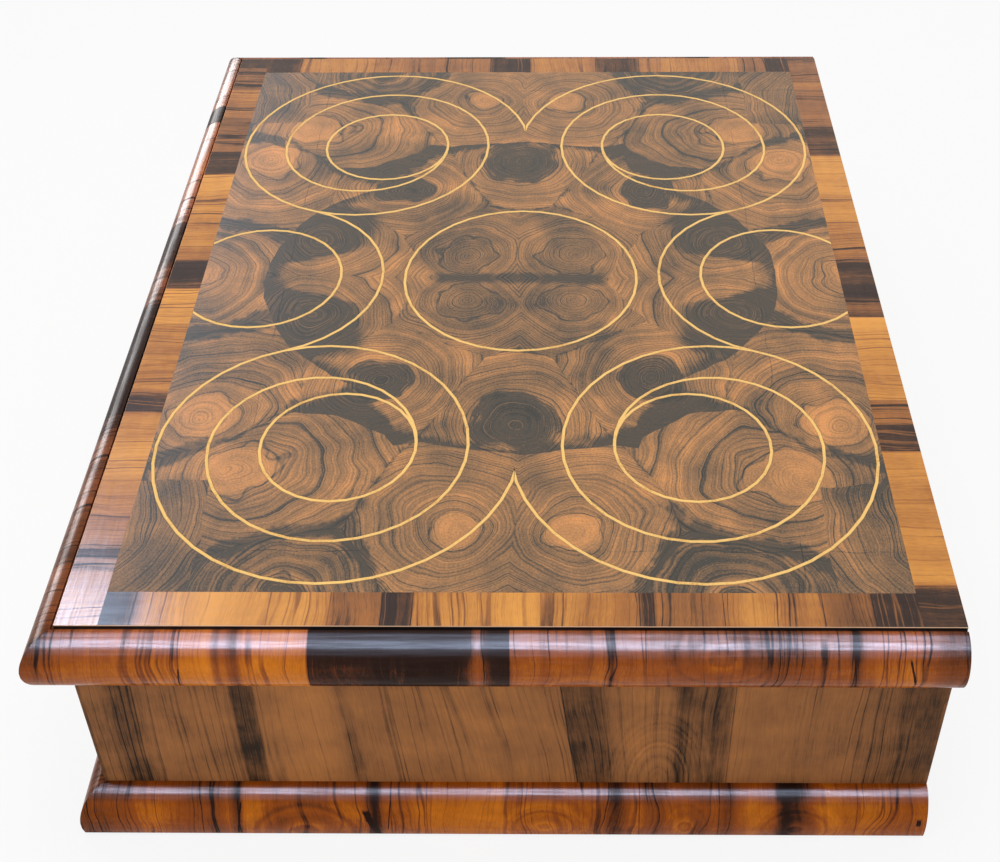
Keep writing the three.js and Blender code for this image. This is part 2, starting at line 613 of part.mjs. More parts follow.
function linkScrewPoints() {
  return [-1, 1].map((side) => [linkCentreX() + side * (LINK_SCREW_SPACING / 2), BOLT_Y, LID_UNDER_Z]);
}

function linkPlateBlock(clearance) {
  const halfX = LINK_LENGTH / 2 + clearance;
  const halfY = LINK_WIDTH / 2 + clearance;
  const lowZ = LID_UNDER_Z - (clearance > 0 ? CUT_OVERRUN : 0);
  return block(
    [linkCentreX() - halfX, BOLT_Y - halfY, lowZ],
    [linkCentreX() + halfX, BOLT_Y + halfY, LID_UNDER_Z + LINK_THICKNESS]);
}

function linkPlate() {
  const eyeZ = BOLT_BOTTOM_Z - RUNNING_CLEARANCE;
  const loop = block(
    [STAPLE_X, BOLT_Y - STAPLE_HALF, eyeZ - STAPLE_FOOT],
    [STAPLE_X + STAPLE_LENGTH, BOLT_Y + STAPLE_HALF, LID_UNDER_Z + LINK_THICKNESS / 2]);
  const eye = block(
    [STAPLE_X - CUT_OVERRUN, BOLT_Y - STAPLE_ROOM, eyeZ],
    [STAPLE_X + STAPLE_LENGTH + CUT_OVERRUN, BOLT_Y + STAPLE_ROOM, BOLT_TOP_Z + RUNNING_CLEARANCE]);
  return cut(join([linkPlateBlock(0), loop]), [eye, ...screwHoles(linkScrewPoints(), DOWN)]);
}

// Lid board with clamped ends: a tongue along each end of the board fits a groove in the clamp

function lidTongue(side, clearance) {
  const centreZ = (LID_UNDER_Z + LID_BOARD_TOP_Z) / 2;
  const half = TONGUE_THICKNESS / 2 + clearance;
  const tipX = CLAMP_X + TONGUE_LENGTH + clearance;
  const xs = [side * (CLAMP_X - CUT_OVERRUN), side * tipX].sort((a, b) => a - b);
  return block([xs[0], -LID_Y, centreZ - half], [xs[1], LID_Y, centreZ + half]);
}

function lidBoard() {
  const board = block([-CLAMP_X, -LID_Y, LID_UNDER_Z], [CLAMP_X, LID_Y, LID_BOARD_TOP_Z]);
  const whole = join([board, lidTongue(-1, 0), lidTongue(1, 0)]);
  const tools = [
    backBevel(1), ...hingeRecesses(1), linkPlateBlock(FIT_CLEARANCE), ...screwHoles(linkScrewPoints(), DOWN),
  ];
  return cut(whole, tools);
}

function lidClamp(side) {
  const xs = [side * CLAMP_X, side * LID_X].sort((a, b) => a - b);
  const clamp = block([xs[0], -LID_Y, LID_UNDER_Z], [xs[1], LID_Y, LID_BOARD_TOP_Z]);
  const groove = lidTongue(side, FIT_CLEARANCE);
  return cut(clamp, [groove, backBevel(1)]);
}

// The pattern is set out in the field inside the crossbanding. A scroll fills a quarter, the bows touch
// the scrolls' second turns, and the rings lie inside the bows and in the middle. In a field that is
// long for its depth, the scrolls keep their distance from each other and the ends stay plain.
const FIELD_X = LID_X - CROSSBAND_WIDTH;
const FIELD_Y = LID_Y - CROSSBAND_WIDTH;
const PATTERN_X = FIELD_X - SCROLL_END_MARGIN;
const PATTERN_Y = FIELD_Y - SCROLL_SIDE_MARGIN;
const OUTER_TURN_RADIUS = Math.min(PATTERN_Y * OUTER_TURN_DEPTH_SHARE, PATTERN_X * OUTER_TURN_LENGTH_SHARE);
const TURN_STEP = OUTER_TURN_RADIUS * TURN_STEP_SHARE;
const SCROLL_Y = PATTERN_Y - OUTER_TURN_RADIUS;
const SECOND_TURN_Y = SCROLL_Y + TURN_STEP;
const SECOND_TURN_RADIUS = OUTER_TURN_RADIUS - TURN_STEP;
const BOW_Y = FIELD_Y - BOW_INSET;
const BOW_DROP = BOW_Y - SECOND_TURN_Y;
const WIDEST_SPREAD = SECOND_TURN_RADIUS + PATTERN_Y * BOW_SPREAD_SHARE;
const SCROLL_X = Math.min(
  PATTERN_X - OUTER_TURN_RADIUS, Math.sqrt(WIDEST_SPREAD * WIDEST_SPREAD - BOW_DROP * BOW_DROP));
const BOW_RADIUS = Math.hypot(SCROLL_X, BOW_DROP) - SECOND_TURN_RADIUS;
const SIDE_RING_RADIUS = BOW_RADIUS * SIDE_RING_SHARE;
const CENTRE_RING_RADIUS = Math.min(
  (BOW_Y - BOW_RADIUS) * CENTRE_RING_BOW_SHARE,
  (Math.hypot(SCROLL_X, SECOND_TURN_Y) - SECOND_TURN_RADIUS) * CENTRE_RING_SCROLL_SHARE);

// Stringing: strips of an even width along circles in the plane of the lid

function arcSteps(radius, span) {
  return Math.max(2, Math.ceil(span / (2 * Math.acos(1 - CHORD_SAG / radius))));
}

function strip(centre, radius, fromAngle, toAngle, width, fromZ, toZ) {
  const steps = arcSteps(radius, toAngle - fromAngle);
  const edge = (r) => Array.from({ length: steps + 1 }, (_, step) => {
    const angle = fromAngle + (toAngle - fromAngle) * (step / steps);
    return [centre[0] + r * Math.cos(angle), centre[1] + r * Math.sin(angle)];
  });
  const points = [...edge(radius + width / 2), ...edge(radius - width / 2).reverse()];
  return prism(points, 'z', fromZ, toZ);
}

function ring(centre, radius, width, fromZ, toZ) {
  const sides = 2 * arcSteps(radius, Math.PI);
  const outer = oval(...centre, radius + width / 2, radius + width / 2, sides);
  const inner = oval(...centre, radius - width / 2, radius - width / 2, sides);
  return prism(outer, 'z', fromZ, toZ, [inner]);
}

// A scroll winds in from the middle of an end: half circles on two centres, then a closed eye
function scroll(sideX, sideY, width, fromZ, toZ) {
  const nearCentre = [sideX * SCROLL_X, sideY * SCROLL_Y];
  const farCentre = [sideX * SCROLL_X, sideY * SECOND_TURN_Y];
  const outward = sideX > 0 ? [-Math.PI / 2, Math.PI / 2] : [Math.PI / 2, (3 * Math.PI) / 2];
  const inward = outward.map((angle) => angle + Math.PI);
  const radius = (turn) => OUTER_TURN_RADIUS - turn * TURN_STEP;
  const halves = [
    [nearCentre, radius(0), outward], [farCentre, radius(1), inward],
    [nearCentre, radius(2), outward], [farCentre, radius(3), inward],
  ];
  const winding = halves.map(([centre, r, [from, to]]) => strip(centre, r, from, to, width, fromZ, toZ));
  return join([...winding, ring(nearCentre, radius(4), width, fromZ, toZ)]);
}

const SCROLLS = [['left_front', -1, -1], ['left_back', -1, 1], ['right_front', 1, -1], ['right_back', 1, 1]];
const STRING_FLOOR_Z = BOX_HEIGHT - STRING_DEPTH;
const GROOVE_WIDTH = STRING_WIDTH + 2 * FIT_CLEARANCE;

// Keeps a scroll to its own side of the lid's centre line
function sideHalf(sideY, clearance) {
  const ys = [sideY * clearance, sideY * LID_Y].sort((a, b) => a - b);
  return block([-LID_X, ys[0], STRING_FLOOR_Z - CUT_OVERRUN], [LID_X, ys[1], BOX_HEIGHT + CUT_OVERRUN]);
}

function fieldBlock(clearance) {
  const x = FIELD_X - clearance;
  const y = FIELD_Y - clearance;
  return block([-x, -y, STRING_FLOOR_Z - CUT_OVERRUN], [x, y, BOX_HEIGHT + CUT_OVERRUN]);
}

// A bow runs between the points where it touches the two scrolls on its side
function bow(sideY, width, fromZ, toZ) {
  const slope = Math.atan2(BOW_DROP, SCROLL_X);
  const middle = (-sideY * Math.PI) / 2;
  const half = Math.PI / 2 - slope;
  return strip([0, sideY * BOW_Y], BOW_RADIUS, middle - half, middle + half, width, fromZ, toZ);
}

function sideRingString(sideY) {
  const whole = ring([0, sideY * BOW_Y], SIDE_RING_RADIUS, STRING_WIDTH, STRING_FLOOR_Z, BOX_HEIGHT);
  return whole.intersect(fieldBlock(FIT_CLEARANCE));
}

function centreRingString() {
  return ring([0, 0], CENTRE_RING_RADIUS, STRING_WIDTH, STRING_FLOOR_Z, BOX_HEIGHT);
}

function scrollString([, sideX, sideY]) {
  const whole = scroll(sideX, sideY, STRING_WIDTH, STRING_FLOOR_Z, BOX_HEIGHT);
  return whole.intersect(sideHalf(sideY, FIT_CLEARANCE));
}

function bowString(sideY) {
  const neighbours = SCROLLS.filter(([, , y]) => y === sideY)
    .map(([, x, y]) => scroll(x, y, GROOVE_WIDTH, STRING_FLOOR_Z - CUT_OVERRUN, BOX_HEIGHT + CUT_OVERRUN));
  return cut(bow(sideY, STRING_WIDTH, STRING_FLOOR_Z, BOX_HEIGHT), neighbours);
}

function oysterField() {
  const sheet = block([-FIELD_X, -FIELD_Y, LID_BOARD_TOP_Z], [FIELD_X, FIELD_Y, BOX_HEIGHT]);
  const top = BOX_HEIGHT + CUT_OVERRUN;
  const grooves = [
    ring([0, 0], CENTRE_RING_RADIUS, GROOVE_WIDTH, STRING_FLOOR_Z, top),
    ...SCROLLS.map(([, x, y]) => scroll(x, y, GROOVE_WIDTH, STRING_FLOOR_Z, top).intersect(sideHalf(y, 0))),
    ...[-1, 1].map((side) => bow(side, GROOVE_WIDTH, STRING_FLOOR_Z, top)),
    ...[-1, 1].map((side) => ring([0, side * BOW_Y], SIDE_RING_RADIUS, GROOVE_WIDTH, STRING_FLOOR_Z, top)),
  ];
  return cut(sheet, grooves);
}

// The long bands run through to the corners and the end bands butt between them
function longBand(side) {
  const ys = [side * FIELD_Y, side * LID_Y].sort((a, b) => a - b);
  return block([-LID_X, ys[0], LID_BOARD_TOP_Z], [LID_X, ys[1], BOX_HEIGHT]);
}

function endBand(side) {
  const xs = [side * FIELD_X, side * LID_X].sort((a, b) => a - b);
  return block([xs[0], -FIELD_Y, LID_BOARD_TOP_Z], [xs[1], FIELD_Y, BOX_HEIGHT]);
}

// Finishes: colour, roughness, metalness
const FINISHES = {
  carcase: [0xb98f5e, 0.8, 0],
  oyster: [0x6e4a30, 0.35, 0],
  crossband: [0xc0803f, 0.3, 0],
  boxwood: [0xe8c285, 0.4, 0],
  moulding: [0x9a5b2c, 0.25, 0],
  sideVeneer: [0x7d4c2b, 0.35, 0],
  lining: [0x9c3b34, 0.9, 0],
  baize: [0x2f5138, 1, 0],
  brass: [0xb08a4a, 0.4, 1],
  iron: [0x4a4743, 0.55, 1],
};

const box = new THREE.Group();

function piece(name, body, finish) {
  const [color, roughness, metalness] = FINISHES[finish];
  const mesh = new THREE.Mesh(surface(body), new THREE.MeshStandardMaterial({ color, roughness, metalness }));
  mesh.name = name;
  box.add(mesh);
}

function addCase() {
  piece('front_board', frontBoard(), 'carcase');
  piece('back_board', backBoard(), 'carcase');
  piece('left_end_board', endBoard(-1), 'carcase');
  piece('right_end_board', endBoard(1), 'carcase');
  piece('bottom_board', bottomBoard(), 'carcase');
  piece('front_veneer', frontVeneer(), 'sideVeneer');
  piece('back_veneer', backVeneer(), 'sideVeneer');
  piece('left_end_veneer', endVeneer(-1), 'sideVeneer');
  piece('right_end_veneer', endVeneer(1), 'sideVeneer');
  const base = mouldings(BASE_CUSHION, CASE_X, CASE_FRONT_Y, BASE_MOULDING_REACH);
  for (const [side, body] of Object.entries(base)) piece(`${side}_base_moulding`, body, 'moulding');
  piece('baize', baize(), 'baize');
  piece('case_lining', caseLining(), 'lining');
}

function addLid() {
  piece('lid_board', lidBoard(), 'carcase');
  piece('left_lid_clamp', lidClamp(-1), 'carcase');
  piece('right_lid_clamp', lidClamp(1), 'carcase');
  piece('oyster_field', oysterField(), 'oyster');
  piece('front_crossband', longBand(-1), 'crossband');
  piece('back_crossband', longBand(1), 'crossband');
  piece('left_crossband', endBand(-1), 'crossband');
  piece('right_crossband', endBand(1), 'crossband');
  piece('centre_ring_string', centreRingString(), 'boxwood');
  for (const corner of SCROLLS) piece(`${corner[0]}_scroll_string`, scrollString(corner), 'boxwood');
  for (const [name, side] of [['front', -1], ['back', 1]]) {
    piece(`${name}_bow_string`, bowString(side), 'boxwood');
    piece(`${name}_ring_string`, sideRingString(side), 'boxwood');
  }
  const edge = mouldings(LID_CUSHION, LID_X, -LID_Y, LID_MOULDING_REACH);
  for (const [side, body] of Object.entries(edge)) piece(`${side}_lid_moulding`, body, 'moulding');
  piece('lid_lining', lidLining(), 'lining');
}

function addScrews(name, points, facing, finish) {
  points.forEach((point, index) => piece(`${name}_screw_${index + 1}`, placed(SCREW, point, facing), finish));
}

function addHinges() {
  for (const [side, centreX] of HINGES) {
    piece(`${side}_hinge_case_leaf`, hingeLeaf(centreX, RIM_Z, RIM_Z - HINGE_LEAF_THICKNESS, 0, UP), 'brass');
    piece(`${side}_hinge_lid_leaf`,
      hingeLeaf(centreX, LID_UNDER_Z, LID_UNDER_Z + HINGE_LEAF_THICKNESS, 1, DOWN), 'brass');
    piece(`${side}_hinge_pin`, hingePin(centreX), 'iron');
    addScrews(`${side}_hinge_case`, hingeScrewPoints(centreX, RIM_Z), UP, 'brass');
    addScrews(`${side}_hinge_lid`, hingeScrewPoints(centreX, LID_UNDER_Z), DOWN, 'brass');
  }
}

function addLock() {
  piece('lock_case', lockCase(), 'iron');
  piece('lock_bolt', lockBolt(), 'iron');
  addScrews('lock', lockScrewPoints(), INWARD, 'iron');
  piece('link_plate', linkPlate(), 'iron');
  addScrews('link_plate', linkScrewPoints(), DOWN, 'iron');
  piece('escutcheon', escutcheon(), 'brass');
  escutcheonPinPoints().forEach((point, index) => piece(
    `escutcheon_pin_${index + 1}`, escutcheonPin(point), 'brass'));
  piece('key', key(), 'iron');
}

addCase();
addLid();
addHinges();
addLock();

export default box;
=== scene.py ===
"""Veneered oyster-work box with a hinged lid: its mouldings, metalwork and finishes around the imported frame."""

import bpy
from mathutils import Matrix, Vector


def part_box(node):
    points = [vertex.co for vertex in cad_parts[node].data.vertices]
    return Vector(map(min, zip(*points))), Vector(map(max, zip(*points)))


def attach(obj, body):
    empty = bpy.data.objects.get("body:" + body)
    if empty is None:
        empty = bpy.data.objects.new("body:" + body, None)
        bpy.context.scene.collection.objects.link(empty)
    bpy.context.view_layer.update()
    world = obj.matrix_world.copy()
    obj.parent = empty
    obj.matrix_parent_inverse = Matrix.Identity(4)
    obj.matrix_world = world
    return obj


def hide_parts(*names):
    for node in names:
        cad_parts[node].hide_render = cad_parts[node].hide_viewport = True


bl_info = {
    "name": "Oyster-veneered box",
    "version": (1, 0, 0),
    "blender": (4, 5, 0),
    "location": "View3D > Sidebar > Oyster Box",
    "description": "Models and finishes a veneered wooden box with a hinged lid",
    "category": "Add Mesh",
}

import math

import bpy
from bpy.props import FloatProperty, FloatVectorProperty, PointerProperty
from mathutils import Matrix, Vector

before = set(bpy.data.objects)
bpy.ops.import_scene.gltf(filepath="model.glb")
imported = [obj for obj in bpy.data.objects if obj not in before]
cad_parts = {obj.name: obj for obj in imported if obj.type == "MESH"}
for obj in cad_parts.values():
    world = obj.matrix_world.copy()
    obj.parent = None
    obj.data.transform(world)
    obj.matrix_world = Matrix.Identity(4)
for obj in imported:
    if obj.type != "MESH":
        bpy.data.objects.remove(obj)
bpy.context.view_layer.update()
MM = 0.001
LID_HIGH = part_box("right_lid_clamp")[1]
SIDES = ("front", "left", "right")


def tint(red, green, blue):
    """A colour as it is seen on a screen, 0 to 255, as the linear colour that Blender works in."""
    shares = (channel / 255 for channel in (red, green, blue))
    return tuple(s / 12.92 if s <= 0.04045 else ((s + 0.055) / 1.055) ** 2.4 for s in shares)


def length(name, description, metres):
    return FloatProperty(name=name, description=description, default=metres, unit="LENGTH", precision=4)


def power(name, description, watts):
    return FloatProperty(name=name, description=description, default=watts, unit="POWER")


def colour(name, description, *seen):
    return FloatVectorProperty(
        name=name, description=description, default=tint(*seen), subtype="COLOR", size=3, min=0, max=1)


def graded(shade, factor, lift=0.0):
    """A shade made darker or paler."""
    return [min(1, channel * factor + lift) for channel in shade]


class MouldingSizes(bpy.types.PropertyGroup):
    """Sizes of the cushion mouldings that the frame does not give"""

    quirk_width: length("Quirk width", "Flat strip between the lid's edge and the round of its moulding", 0.0015)
    quirk_depth: length("Quirk depth", "How far that strip lies below the top of the moulding", 0.0014)
    base_shoulder: length("Base shoulder", "Flat on top of the base moulding, out from its back", 0.0024)
    lid_wear: length("Lid moulding wear", "Rounding of the lid moulding's lower edge", 0.0032)
    base_wear: length("Base moulding wear", "Rounding of the base moulding's lower edge", 0.0022)


class WoodColours(bpy.types.PropertyGroup):
    """Colours of the veneers, mouldings and boards"""

    oyster_dark: colour("Oyster heart", "Dark heartwood of the oysters", 60, 56, 48)
    oyster_mid: colour("Oyster middle", "Middle brown of the oysters", 150, 108, 68)
    oyster_light: colour("Oyster light", "Pale sapwood of the oysters", 230, 154, 86)
    band_dark: colour("Crossband dark", "Dark pieces and streaks of the crossbanding", 60, 42, 34)
    band_mid: colour("Crossband middle", "Middle tone of the crossbanding", 160, 98, 42)
    band_light: colour("Crossband light", "Honey tone of the crossbanding", 220, 150, 64)
    moulding_dark: colour("Moulding dark", "Near-black pieces of the mouldings", 52, 29, 19)
    moulding_mid: colour("Moulding middle", "Red-brown of the mouldings", 154, 74, 6)
    moulding_light: colour("Moulding light", "Orange-brown of the mouldings", 226, 130, 16)
    side_dark: colour("Side veneer dark", "Dark streaks of the side veneers", 52, 38, 28)
    side_mid: colour("Side veneer middle", "Brown of the side veneers", 148, 98, 60)
    side_light: colour("Side veneer light", "Light brown of the side veneers", 186, 122, 68)
    boxwood: colour("Boxwood", "Pale yellow lines", 236, 190, 112)
    board_dark: colour("Board grain", "Grain of the oak boards", 120, 84, 50)
    board_light: colour("Board", "Plain oak of the boards", 178, 134, 88)


class OtherColours(bpy.types.PropertyGroup):
    """Colours of the linings and the metalwork"""

    lining: colour("Lining", "Lining paper", 136, 44, 40)
    baize: colour("Baize", "Green baize under the base", 40, 84, 60)
    brass: colour("Brass", "Aged brass", 196, 158, 96)
    iron: colour("Iron", "Dark oiled iron", 96, 92, 88)


class StudioSettings(bpy.types.PropertyGroup):
    """Camera and light"""

    lens: FloatProperty(
        name="Lens", description="Focal length on a 36 mm wide frame", default=53.9, subtype="DISTANCE_CAMERA")
    overhead: power("Overhead light", "Softbox above the box", 12)
    fill: power("Fill light", "Large soft light beside the camera", 8)
    sheen: power("Moulding sheen", "Panels that only the polished mouldings show", 150)
    side_sheen: power("Lid sheen", "Panels that only the lid's field and near crossbands show", 18)
    sky: FloatProperty(
        name="Ambient", description="Strength of the even light all round", default=0.45, min=0, max=1)
    floor: colour("Floor", "Plain pale floor", 236, 236, 236)


# Node trees


class Nodes:
    """Adds the nodes of one tree and links them as they are added."""

    def __init__(self, tree):
        self.tree = tree

    def feed(self, socket, value):
        if isinstance(value, bpy.types.NodeSocket):
            self.tree.links.new(value, socket)
        else:
            socket.default_value = value

    def add(self, kind, sockets=None, **settings):
        node = self.tree.nodes.new(kind)
        for name, value in settings.items():
            setattr(node, name, value)
        for key, value in (sockets or {}).items():
            self.feed(node.inputs[key], value)
        return node

    def sum(self, operation, *values, clamp=False):
        node = self.add("ShaderNodeMath", dict(enumerate(values)), operation=operation)
        node.use_clamp = clamp
        return node.outputs[0]

    def times(self, first, second):
        return self.sum("MULTIPLY", first, second)

    def plus(self, first, second, **settings):
        return self.sum("ADD", first, second, **settings)

    def less(self, first, second):
        return self.sum("SUBTRACT", first, second)

    def absolute(self, value):
        return self.sum("ABSOLUTE", value)

    def larger(self, first, second):
        return self.sum("MAXIMUM", first, second)

    def lay(self, amount, share, tone, **settings):
        """tone with a share of amount added."""
        return self.sum("MULTIPLY_ADD", amount, share, tone, **settings)

    def sway(self, figure, share, tone, **settings):
        """tone with a share added of a figure that runs about a half."""
        return self.lay(self.less(figure, 0.5), share, tone, **settings)

    def vector(self, operation, *values, out="Vector"):
        return self.add("ShaderNodeVectorMath", dict(enumerate(values)), operation=operation).outputs[out]

    def scaled(self, value, factor):
        return self.add("ShaderNodeVectorMath", {0: value, "Scale": factor}, operation="SCALE").outputs["Vector"]

    def combine(self, x, y, z=0.0):
        return self.add("ShaderNodeCombineXYZ", {0: x, 1: y, 2: z}).outputs[0]

    def split(self, value):
        return self.add("ShaderNodeSeparateXYZ", {0: value}).outputs

    def mix(self, share, first, second, kind="RGBA"):
        sockets = {"FLOAT": (2, 3, 0), "VECTOR": (4, 5, 1), "RGBA": (6, 7, 2)}[kind]
        node = self.add("ShaderNodeMix", {0: share, sockets[0]: first, sockets[1]: second}, data_type=kind)
        return node.outputs[sockets[2]]

    def noise(self, place, scale, detail, roughness=0.5):
        sockets = {"Vector": place, "Scale": scale, "Detail": detail, "Roughness": roughness}
        return self.add("ShaderNodeTexNoise", sockets).outputs["Fac"]

    def stray(self, place, scale, detail, reach):
        """A random shift of up to half of reach each way."""
        noise = self.add("ShaderNodeTexNoise", {"Vector": place, "Scale": scale, "Detail": detail})
        return self.scaled(self.vector("SUBTRACT", noise.outputs["Color"], (0.5, 0.5, 0.5)), reach)

    def noise_line(self, value, scale, detail):
        sockets = {"W": value, "Scale": scale, "Detail": detail}
        return self.add("ShaderNodeTexNoise", sockets, noise_dimensions="1D").outputs["Fac"]

    def step(self, value, low, high, first=0.0, last=1.0):
        """first below low, last above high, and smooth between them."""
        node = self.add("ShaderNodeMapRange", {"Value": value, 1: low, 2: high, 3: first, 4: last})
        node.interpolation_type = "SMOOTHSTEP"
        return node.outputs["Result"]

    def ramp(self, value, stops):
        """A colour ramp from (place, colour) stops."""
        node = self.add("ShaderNodeValToRGB", {"Fac": value})
        elements = node.color_ramp.elements
        while len(elements) < len(stops):
            elements.new(1.0)
        for element, (place, shade) in zip(elements, stops):
            element.position = place
            element.color = (*shade[:3], 1.0)
        return node.outputs["Color"]

    def table(self, value, points):
        """A number read off a table of (value, number) points."""
        low, high = points[0][0], points[-1][0]
        share = self.add("ShaderNodeMapRange", {"Value": value, 1: low, 2: high}).outputs["Result"]
        return self.ramp(share, [((at - low) / (high - low), [number] * 3) for at, number in points])

    def group(self, name, sockets):
        node = self.add("ShaderNodeGroup", node_tree=bpy.data.node_groups[name])
        for key, value in sockets.items():
            self.feed(node.inputs[key], value)
        return node.outputs

    def wear(self, place, roughness, amount):
        return self.group("Handling Wear", {"Place": place, "Roughness": roughness, "Amount": amount})

    def seen(self):
        """1 for rays that show the studio itself, in the picture or mirrored, and 0 for those that light it."""
        path = self.add("ShaderNodeLightPath").outputs
        return self.larger(path["Is Camera Ray"], self.larger(path["Is Glossy Ray"], path["Is Transmission Ray"]))

    def millimetres(self):
        place = self.add("ShaderNodeTexCoord").outputs["Object"]
        return self.scaled(place, 1 / MM)


def node_group(name, inputs, outputs, wire):
    """A shader node group: inputs are (name, socket kind, value), outputs (name, socket kind)."""
    tree = bpy.data.node_groups.new(name, "ShaderNodeTree")
    for label, kind, value in inputs:
        tree.interface.new_socket(label, in_out="INPUT", socket_type=kind).default_value = value
    for label, kind in outputs:
        tree.interface.new_socket(label, in_out="OUTPUT", socket_type=kind)
    nodes = Nodes(tree)
    entry = nodes.add("NodeGroupInput")
    leave = nodes.add("NodeGroupOutput")
    for label, value in wire(nodes, entry.outputs).items():
        nodes.feed(leave.inputs[label], value)


FLOAT, VECTOR = "NodeSocketFloat", "NodeSocketVector"
OYSTER_STATE = [
    ("Nearest", FLOAT, 1000.0), ("Second", FLOAT, 1000.0), ("Ring", FLOAT, 0.0), ("Figure", VECTOR, (0, 0, 0)),
    ("Spacing", FLOAT, 1.0), ("Seed", FLOAT, 0.0),
]


def wire_oyster(nodes, given):
    """One oyster takes the place where it is nearer than those before it. Its rings have a focus at the heart."""
    away = nodes.vector("SUBTRACT", given["Place"], given["Heart"])
    distance = nodes.vector("LENGTH", away, out="Value")
    ring = nodes.plus(distance, nodes.vector("DOT_PRODUCT", away, given["Lean"], out="Value"))
    reach = nodes.plus(distance, nodes.vector("DOT_PRODUCT", away, given["Spread"], out="Value"))
    reach = nodes.lay(reach, given["Pull"], given["Held Back"])
    closer = nodes.sum("LESS_THAN", reach, given["Nearest"])
    further = nodes.larger(reach, given["Nearest"])
    return {
        "Nearest": nodes.sum("MINIMUM", reach, given["Nearest"]),
        "Second": nodes.sum("MINIMUM", further, given["Second"]),
        "Ring": nodes.mix(closer, given["Ring"], ring, "FLOAT"),
        "Figure": nodes.mix(closer, given["Figure"], given["Own Figure"], "VECTOR"),
        "Spacing": nodes.mix(closer, given["Spacing"], given["Own Spacing"], "FLOAT"),
        "Seed": nodes.mix(closer, given["Seed"], given["Own Seed"], "FLOAT"),
    }


def wire_rings(nodes, given):
    """Growth rings by the distance from the heart in millimetres: each darkens slowly outward and ends sharply."""
    bent = given["Ring"]
    for scale, detail, reach in ((0.024, 1.0, 16.0), (0.06, 0.0, 3.0), (0.3, 1.0, 0.35)):
        bent = nodes.lay(nodes.noise(given["Place"], scale, detail), reach, bent)
    start = nodes.lay(given["Seed"], 71.3, bent)
    uneven = nodes.times(nodes.noise_line(start, 0.07, 1.0), 3.0)
    turns = nodes.plus(nodes.sum("DIVIDE", start, given["Spacing"]), uneven)
    share = nodes.sum("FRACT", turns)
    late = nodes.times(nodes.step(share, 0.5, 0.94), nodes.step(share, 0.94, 1.0, 1.0, 0.0))
    number = nodes.times(nodes.sum("FLOOR", turns), 0.77)
    each = nodes.step(nodes.noise_line(number, 1.0, 0.0), 0.35, 0.65, 0.25, 1.0)
    patch = nodes.step(nodes.noise(given["Place"], 0.06, 2.0), 0.32, 0.6, 0.45, 1.0)
    thin = nodes.absolute(nodes.less(nodes.noise_line(nodes.plus(start, 900.0), 1.0, 1.0), 0.5))
    hair = nodes.step(thin, 0.0, 0.1, 0.55, 0.0)
    return {
        "Lines": nodes.lay(nodes.times(late, each), patch, hair),
        "Broad": nodes.noise_line(nodes.plus(start, 400.0), 0.12, 1.0),
        "Bent Ring": nodes.less(bent, 10.0),
    }


def wire_streaks(nodes, given):
    """Stripes across the length and pores along the grain, for wood whose grain runs the way of Over."""
    slow = nodes.combine(nodes.times(given["Along"], 0.025), nodes.times(given["Over"], 0.022), given["Seed"])
    along = nodes.sway(nodes.noise(slow, 1.0, 2.0, 0.35), given["Wander"], given["Along"])
    over = nodes.times(given["Over"], 0.025)
    through = nodes.lay(given["Through"], 0.05, given["Seed"])
    place = nodes.combine(along, over, through)
    narrow = nodes.absolute(nodes.less(nodes.noise(place, 0.12, 1.0, 0.6), 0.47))
    hair = nodes.absolute(nodes.less(nodes.noise(nodes.combine(along, over, 40.0), 0.5, 1.0, 0.6), 0.5))
    fine = nodes.noise(nodes.combine(along, nodes.times(over, 4.0), through), 2.6, 2.0)
    ripple = nodes.noise(nodes.combine(nodes.times(along, 0.25), given["Over"], given["Seed"]), 0.14, 2.0)
    patch = nodes.combine(along, nodes.times(given["Over"], 0.3), given["Seed"])
    strength = nodes.step(nodes.noise(patch, 0.05, 2.0), 0.38, 0.6, 0.3, 1.0)
    lines = nodes.times(nodes.step(narrow, 0.004, 0.03, 1.0, 0.0), strength)
    return {
        "Broad": nodes.noise(place, 0.08, 2.0, 0.55),
        "Lines": nodes.lay(nodes.step(hair, 0.0, 0.06, 0.4, 0.0), strength, lines),
        "Fine": nodes.mix(0.35, fine, ripple, "FLOAT"),
        "Bent": along,
    }


def wire_wear(nodes, given):
    """Handling marks: patchy gloss, fine scratches and a faint unevenness of the polished face."""
    patches = nodes.noise(given["Place"], 0.02, 3.0, 0.6)
    scratch = nodes.noise(nodes.vector("MULTIPLY", given["Place"], (1.6, 0.03, 1.6)), 2.4, 2.0)
    ripple = nodes.noise(given["Place"], 0.045, 2.0)
    specks = nodes.noise(given["Place"], 1.3, 1.0)
    roughness = nodes.sway(patches, given["Amount"], given["Roughness"])
    height = nodes.lay(nodes.step(scratch, 0.66, 0.74), -0.02, ripple)
    return {
        "Roughness": nodes.plus(roughness, nodes.step(specks, 0.7, 0.78, 0.0, 0.04), clamp=True),
        "Height": height,
    }


